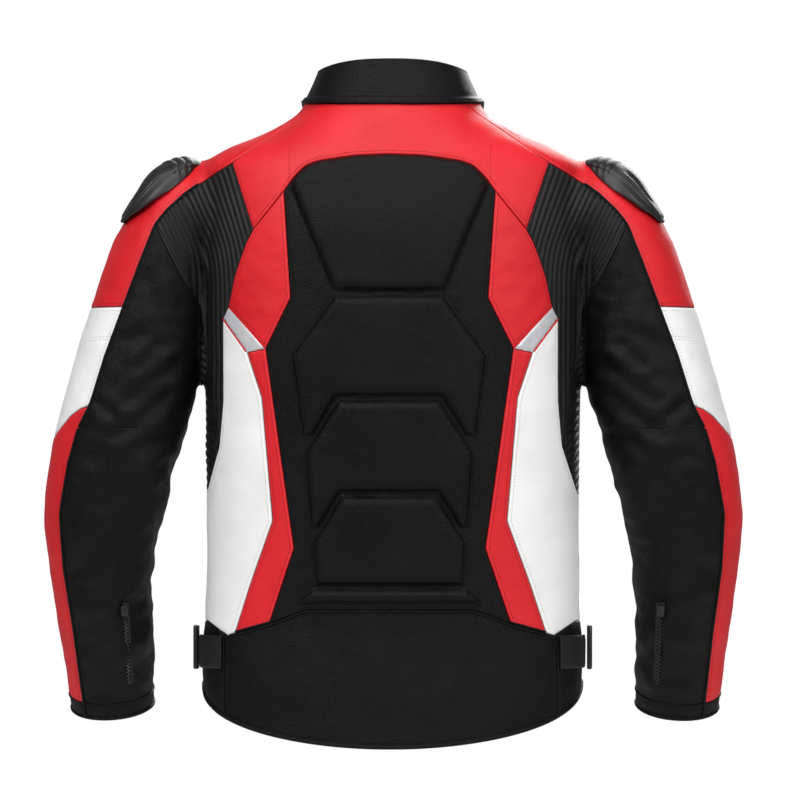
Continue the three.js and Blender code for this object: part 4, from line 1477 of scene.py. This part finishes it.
def mix_colour(tree, share, a, b):
    """A colour between a and b; each value is a colour, a number or a socket."""
    node = tree.nodes.new("ShaderNodeMix")
    node.data_type = "RGBA"
    for socket, value in ((node.inputs[0], share), (node.inputs[6], a), (node.inputs[7], b)):
        if isinstance(value, (int, float, tuple)):
            socket.default_value = value
        else:
            tree.links.new(value, socket)
    return node.outputs[2]


def leather_grain_group():
    """Pebbled grain: a height, a crevice mask and slow tone changes."""
    inputs = [("Pebble", "Float", 620.0), ("Tone", "Float", 18.0)]
    outputs = [("Height", "Float"), ("Crevice", "Float"), ("Tone", "Float")]
    group, given, result = node_group("leather_grain", inputs, outputs)
    place = group.nodes.new("ShaderNodeTexCoord").outputs["Object"]
    bend = texture(group, "Noise", place, 300.0, Detail=2.0)
    warped = group.nodes.new("ShaderNodeVectorMath")
    warped.operation = "MULTIPLY_ADD"
    group.links.new(bend.outputs["Color"], warped.inputs[0])
    warped.inputs[1].default_value = (0.0018, 0.0018, 0.0018)
    group.links.new(place, warped.inputs[2])
    cells = texture(group, "Voronoi", warped.outputs[0], given.outputs["Pebble"],
                    feature="DISTANCE_TO_EDGE")
    pebble = maths(group, "MULTIPLY", cells.outputs["Distance"], 3.2, clamp=True)
    pebble = maths(group, "POWER", pebble, 0.6)
    rough = texture(group, "Noise", place, 210.0, Detail=5.0, Roughness=0.62)
    height = maths(group, "MULTIPLY_ADD", rough.outputs["Fac"], 1.1, maths(group, "MULTIPLY", pebble, 0.55))
    group.links.new(height, result.inputs["Height"])
    group.links.new(maths(group, "SUBTRACT", 1.0, pebble, clamp=True), result.inputs["Crevice"])
    tone = texture(group, "Noise", place, given.outputs["Tone"], Detail=3.0)
    group.links.new(tone.outputs["Fac"], result.inputs["Tone"])
    return group


def seam_shade_group():
    """Masks of a turned edge: painted shade in the seam's crease, a painted highlight along the rolled
    edge, and the stitch channel.
    """
    outputs = [("PaintedSeamShade", "Float"), ("PaintedEdgeHighlight", "Float"), ("Channel", "Float")]
    group, given, result = node_group("seam_shade", [], outputs)
    mark = group.nodes.new("ShaderNodeAttribute")
    mark.attribute_name = "seam_distance"
    gap = mark.outputs["Fac"]
    for name, middle, width in (("PaintedSeamShade", 0, 1.3), ("PaintedEdgeHighlight", 2.0, 0.8), ("Channel", TOP, 0.9)):
        off = maths(group, "ABSOLUTE", maths(group, "SUBTRACT", gap, middle))
        mask = maths(group, "SUBTRACT", 1.0, maths(group, "DIVIDE", off, width), clamp=True)
        group.links.new(mask, result.inputs[name])
    return group


def weave_group():
    """Two crossing sets of threads, as a height."""
    group, given, result = node_group("weave", [("Threads", "Float", 900.0)], [("Height", "Float")])
    place = group.nodes.new("ShaderNodeTexCoord").outputs["Object"]
    axes = group.nodes.new("ShaderNodeSeparateXYZ")
    group.links.new(place, axes.inputs[0])
    flat = maths(group, "ADD", axes.outputs["X"], axes.outputs["Y"])
    turns = maths(group, "MULTIPLY", given.outputs[0], 3.1)
    first = maths(group, "SINE", maths(group, "MULTIPLY", flat, turns))
    second = maths(group, "SINE", maths(group, "MULTIPLY", axes.outputs["Z"], turns))
    group.links.new(maths(group, "MULTIPLY", first, second), result.inputs["Height"])
    return group


LEATHER_GRAIN, SEAM_SHADE, WEAVE = leather_grain_group(), seam_shade_group(), weave_group()


def use_group(tree, group):
    node = tree.nodes.new("ShaderNodeGroup")
    node.node_tree = group
    return node


def new_material(name):
    material = bpy.data.materials.new(name)
    material.use_nodes = True
    return material, material.node_tree, material.node_tree.nodes["Principled BSDF"]


def add_bump(tree, shader, height, distance):
    node = tree.nodes.new("ShaderNodeBump")
    node.inputs["Distance"].default_value = distance
    node.inputs["Strength"].default_value = 1.0
    tree.links.new(height, node.inputs["Height"])
    tree.links.new(node.outputs[0], shader.inputs["Normal"])


def leather(name, colour, dark, light, roughness, pebble, depth, shine):
    """Pebbled leather with painted shade in its seam creases and a painted highlight along its rolled
    edges.
    """
    material, tree, shader = new_material(name)
    grain = use_group(tree, LEATHER_GRAIN)
    grain.inputs["Pebble"].default_value = pebble
    seam = use_group(tree, SEAM_SHADE)
    tone = maths(tree, "MULTIPLY_ADD", grain.outputs["Tone"], 2.2, -0.65, clamp=True)
    shown = mix_colour(tree, tone, dark, colour)
    crevice = maths(tree, "MULTIPLY", grain.outputs["Crevice"], 0.22)
    shown = mix_colour(tree, crevice, shown, dark)
    # painted highlight: the crest of the rolled edge beside a seam is lightened towards the light colour
    shown = mix_colour(tree, maths(tree, "MULTIPLY", seam.outputs["PaintedEdgeHighlight"], 0.30), shown, light)
    # painted shade: the seam's crease is darkened towards a quarter of the dark colour
    fold = tuple(0.25 * c for c in dark[:3]) + (1,)
    shown = mix_colour(tree, maths(tree, "MULTIPLY", seam.outputs["PaintedSeamShade"], 0.75), shown, fold)
    tree.links.new(shown, shader.inputs["Base Color"])
    rough = maths(tree, "MULTIPLY_ADD", grain.outputs["Tone"], 0.16, roughness - 0.08)
    rough = maths(tree, "MULTIPLY_ADD", grain.outputs["Crevice"], 0.10, rough)
    tree.links.new(rough, shader.inputs["Roughness"])
    shader.inputs["Specular IOR Level"].default_value = shine
    height = maths(tree, "MULTIPLY_ADD", seam.outputs["Channel"], -0.8, grain.outputs["Height"])
    add_bump(tree, shader, height, depth)
    return material


def textured(name, colour, dark, roughness, scale, depth, metallic=0.0, coat=0.0):
    """A plain finish with fine unevenness: cast or moulded."""
    material, tree, shader = new_material(name)
    place = tree.nodes.new("ShaderNodeTexCoord").outputs["Object"]
    fine = texture(tree, "Noise", place, scale, Detail=5.0)
    slow = texture(tree, "Noise", place, scale / 12, Detail=3.0)
    blend = maths(tree, "MULTIPLY_ADD", slow.outputs["Fac"], 2.0, -0.5, clamp=True)
    tree.links.new(mix_colour(tree, blend, dark, colour), shader.inputs["Base Color"])
    rough = maths(tree, "MULTIPLY_ADD", fine.outputs["Fac"], 0.2, roughness - 0.1)
    tree.links.new(rough, shader.inputs["Roughness"])
    shader.inputs["Metallic"].default_value = metallic
    shader.inputs["Coat Weight"].default_value = coat
    shader.inputs["Coat Roughness"].default_value = 0.12
    add_bump(tree, shader, fine.outputs["Fac"], depth)
    return material


def woven(name, colour, dark, threads, roughness, depth):
    """Woven or knitted cloth."""
    material, tree, shader = new_material(name)
    weave = use_group(tree, WEAVE)
    weave.inputs[0].default_value = threads
    share = maths(tree, "MULTIPLY_ADD", weave.outputs[0], 0.5, 0.5)
    tree.links.new(mix_colour(tree, share, dark, colour), shader.inputs["Base Color"])
    tree.links.new(maths(tree, "MULTIPLY_ADD", share, 0.1, roughness), shader.inputs["Roughness"])
    shader.inputs["Specular IOR Level"].default_value = 0.3
    add_bump(tree, shader, weave.outputs[0], depth)
    return material


# %% Materials of the jacket
def tint(red, green, blue):
    """An opaque colour in linear light."""
    return (red, green, blue, 1)


def grey(level, blue=None):
    """A grey, or one with a little more blue."""
    return tint(level, level, level if blue is None else blue)


# Each leather has its colour, a darker colour for tone, grain and the painted seam shade, and a lighter
# colour for the painted edge highlight.
MATERIALS = {
    "red_leather": leather("red_leather", tint(0.63, 0.012, 0.019), tint(0.52, 0.007, 0.012),
                           tint(0.72, 0.045, 0.055), 0.44, 760.0, 0.00018, 0.28),
    "white_leather": leather("white_leather", grey(0.79, 0.785), grey(0.72, 0.715),
                             grey(0.86, 0.855), 0.5, 760.0, 0.00013, 0.3),
    "black_leather": leather("black_leather", tint(0.0040, 0.0041, 0.0048), grey(0.0022, 0.0027),
                             grey(0.014, 0.0155), 0.40, 480.0, 0.00042, 0.12),
    "stretch_rib": woven("stretch_rib", grey(0.0042, 0.005), grey(0.0014, 0.0018), 1400.0, 0.5, 0.00008),
    "reflective": textured("reflective", grey(0.56, 0.58), grey(0.46, 0.48), 0.36, 900.0, 0.00004, 0.2),
    "armour_plastic": textured("armour_plastic", grey(0.0045, 0.005), grey(0.0025, 0.003),
                               0.5, 420.0, 0.00002),
    "zip_metal": textured("zip_metal", grey(0.035, 0.038), grey(0.018, 0.02), 0.38, 700.0, 0.00002, 0.7),
    "loop_metal": textured("loop_metal", grey(0.0052, 0.006), grey(0.003, 0.0034),
                           0.4, 500.0, 0.00003, coat=0.1),
    "webbing": woven("webbing", grey(0.006, 0.007), grey(0.002, 0.0025), 900.0, 0.6, 0.00012),
    "lining_mesh": woven("lining_mesh", grey(0.016, 0.018), grey(0.005, 0.006), 500.0, 0.8, 0.0002),
    "foam": textured("foam", grey(0.045, 0.05), grey(0.03, 0.033), 0.85, 500.0, 0.0003),
}
THREAD_LOOKS = {
    "red": woven("thread_red", tint(0.42, 0.006, 0.012), tint(0.16, 0.002, 0.004), 2600.0, 0.55, 0.00005),
    "white": woven("thread_white", grey(0.62, 0.60), grey(0.35, 0.34), 2600.0, 0.55, 0.00005),
    "black": woven("thread_black", grey(0.012, 0.014), grey(0.003, 0.004), 2600.0, 0.5, 0.00005),
}

# %% [markdown]
# ## Pieces tied to the frame
# Hard pieces ride one body, and the leather, cords and thread of the torso ride the torso.
# The leather, cords and thread of the sleeves and forearms are left in place, tied to no body.


def bend_with(obj, part):
    """Ties torso leather, cord or thread to the torso; on a sleeve or forearm it only bakes the placement
    into the points.
    """
    if part == "torso":
        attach(obj, "torso")
        return
    limb, end = part.split("_")
    if limb == "sleeve":
        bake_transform(obj)
    else:
        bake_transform(obj)


ON_SLEEVE = ("stretch_panel", "sleeve_cap", "sleeve_band", "sleeve_under")
ON_FOREARM = ("forearm_outer", "forearm_under", "cuff")
for name in PANELS:
    for end in ("",) if name in CENTRE_PANELS else ("_R", "_L"):
        obj = FABRIC[name + "_leather" + end]
        if name in ON_SLEEVE:
            bend_with(obj, "sleeve" + end)
        elif name in ON_FOREARM:
            bend_with(obj, "forearm" + end)
        else:
            bend_with(obj, "torso")
        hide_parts(name + end)
for (part, colour), obj in THREADS.items():
    bend_with(obj, part)
    obj.data.materials.append(THREAD_LOOKS[colour])
    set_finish(obj, {"red": "red_leather", "white": "white_leather", "black": "black_leather"}[colour])
for obj, part in PIPING:
    bend_with(obj, part)

TORSO_PIECES = [
    (collar, ["collar"]), (binding, []), (foot_cord, []), (lining, ["lining"]), (hanger, ["hanger_loop"]),
    (FOAM["back_protector"], ["back_protector"]), (join_zip, ["trouser_zip"]),
    (ZIPS["front_zip"][0], ["front_zip"]), (ZIPS["front_zip"][1], []),
]
for obj, nodes in TORSO_PIECES:
    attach(obj, "torso")
    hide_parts(*nodes)
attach(tab_body, "collar_tab")
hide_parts("collar_tab")
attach(SLIDERS["zip_slider"], "zip_slider")
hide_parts("zip_slider")
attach(pull, "zip_pull")
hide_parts("zip_pull")
for end in ("R", "L"):
    rides = [
        (ARMOUR["cap_" + end], "sleeve_", "shoulder_armour_cap_"),
        (ARMOUR["base_" + end], "sleeve_", "shoulder_armour_base_"),
        (FOAM["shoulder_pad_" + end], "sleeve_", "shoulder_pad_"),
        (FOAM["elbow_pad_" + end], "forearm_", "elbow_pad_"),
        (ZIPS["cuff_zip_" + end][0], "forearm_", "cuff_zip_"),
        (ZIPS["cuff_zip_" + end][1], "forearm_", None),
        (SLIDERS["cuff_slider_" + end], "cuff_slider_", "cuff_slider_"),
        (SLIDERS["pocket_slider_" + end], "pocket_slider_", "pocket_slider_"),
        (LOOPS[end], "waist_loop_", "waist_loop_"),
    ]
    for obj, body, node in rides:
        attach(obj, body + end)
        if node:
            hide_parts(node + end)
    for obj, node in ((STRAPS[end], "waist_strap_"), (ZIPS["pocket_zip_" + end][0], "pocket_zip_"),
                      (ZIPS["pocket_zip_" + end][1], None)):
        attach(obj, "torso")
        if node:
            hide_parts(node + end)
FAR_FROM_SEAM = 12.0
for obj in list(scene.objects):
    if obj.type != "MESH" or "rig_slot" not in obj:
        continue
    if not obj.data.materials:
        obj.data.materials.append(MATERIALS[obj["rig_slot"]])
    if "seam_distance" not in obj.data.attributes:
        mark = obj.data.attributes.new("seam_distance", "FLOAT", "POINT")
        mark.data.foreach_set("value", [FAR_FROM_SEAM] * len(obj.data.vertices))

# %% [markdown]
# ## Floor, light and camera
# A pale floor, a bright plain surround and large soft lamps. The camera stands almost
# straight behind the jacket, and its lens makes 800 millimetres fill the picture.

# %% Stage
bpy.ops.mesh.primitive_circle_add(vertices=96, radius=1.5, fill_type="NGON", location=(0, 0, -1.0))
floor = bpy.context.active_object
floor.name = "floor"
floor_look, floor_nodes, floor_shader = new_material("pale_floor")
floor_shader.inputs["Base Color"].default_value = (0.85, 0.85, 0.85, 1)
floor_shader.inputs["Roughness"].default_value = 0.7
floor.data.materials.append(floor_look)

world = bpy.data.worlds.new("studio")
scene.world = world
world.use_nodes = True
sky = world.node_tree
background = sky.nodes["Background"]
rays = sky.nodes.new("ShaderNodeLightPath")
brightness = maths(sky, "MULTIPLY_ADD", rays.outputs["Is Camera Ray"], 0.75, 0.25)
background.inputs["Color"].default_value = (1, 1, 1, 1)
sky.links.new(brightness, background.inputs["Strength"])


def soft_light(name, place, aim, size, power):
    lamp = bpy.data.lights.new(name, "AREA")
    lamp.size = size
    lamp.energy = power
    light = bpy.data.objects.new(name, lamp)
    scene.collection.objects.link(light)
    light.location = place
    light.rotation_euler = (Vector(aim) - Vector(place)).to_track_quat("-Z", "Y").to_euler()
    return light


MIDDLE = (0, 0, -0.3)
soft_light("key", (-1.5, -2.6, 1.7), MIDDLE, 1.3, 80)
soft_light("fill", (2.0, -2.4, 1.0), MIDDLE, 1.3, 52)
soft_light("top", (0, -0.9, 2.2), MIDDLE, 1.4, 36)
soft_light("front", (0.6, 2.8, 1.0), MIDDLE, 1.6, 62)

CAMERA_AIM, CAMERA_TURN, CAMERA_AWAY, PICTURE_WIDTH = Vector((0.0073, 0, -0.297)), 1.6, 11.0, 0.8
camera = bpy.data.objects.new("camera", bpy.data.cameras.new("camera"))
scene.collection.objects.link(camera)
turn = math.radians(CAMERA_TURN)
back = Vector((math.sin(turn), -math.cos(turn), 0))
camera.location = CAMERA_AIM + back * CAMERA_AWAY
camera.rotation_euler = (-back).to_track_quat("-Z", "Y").to_euler()
camera.data.sensor_width = 36
camera.data.lens = 36 * CAMERA_AWAY / PICTURE_WIDTH
camera.data.clip_end = 50
scene.camera = camera
scene.view_settings.view_transform = "Standard"
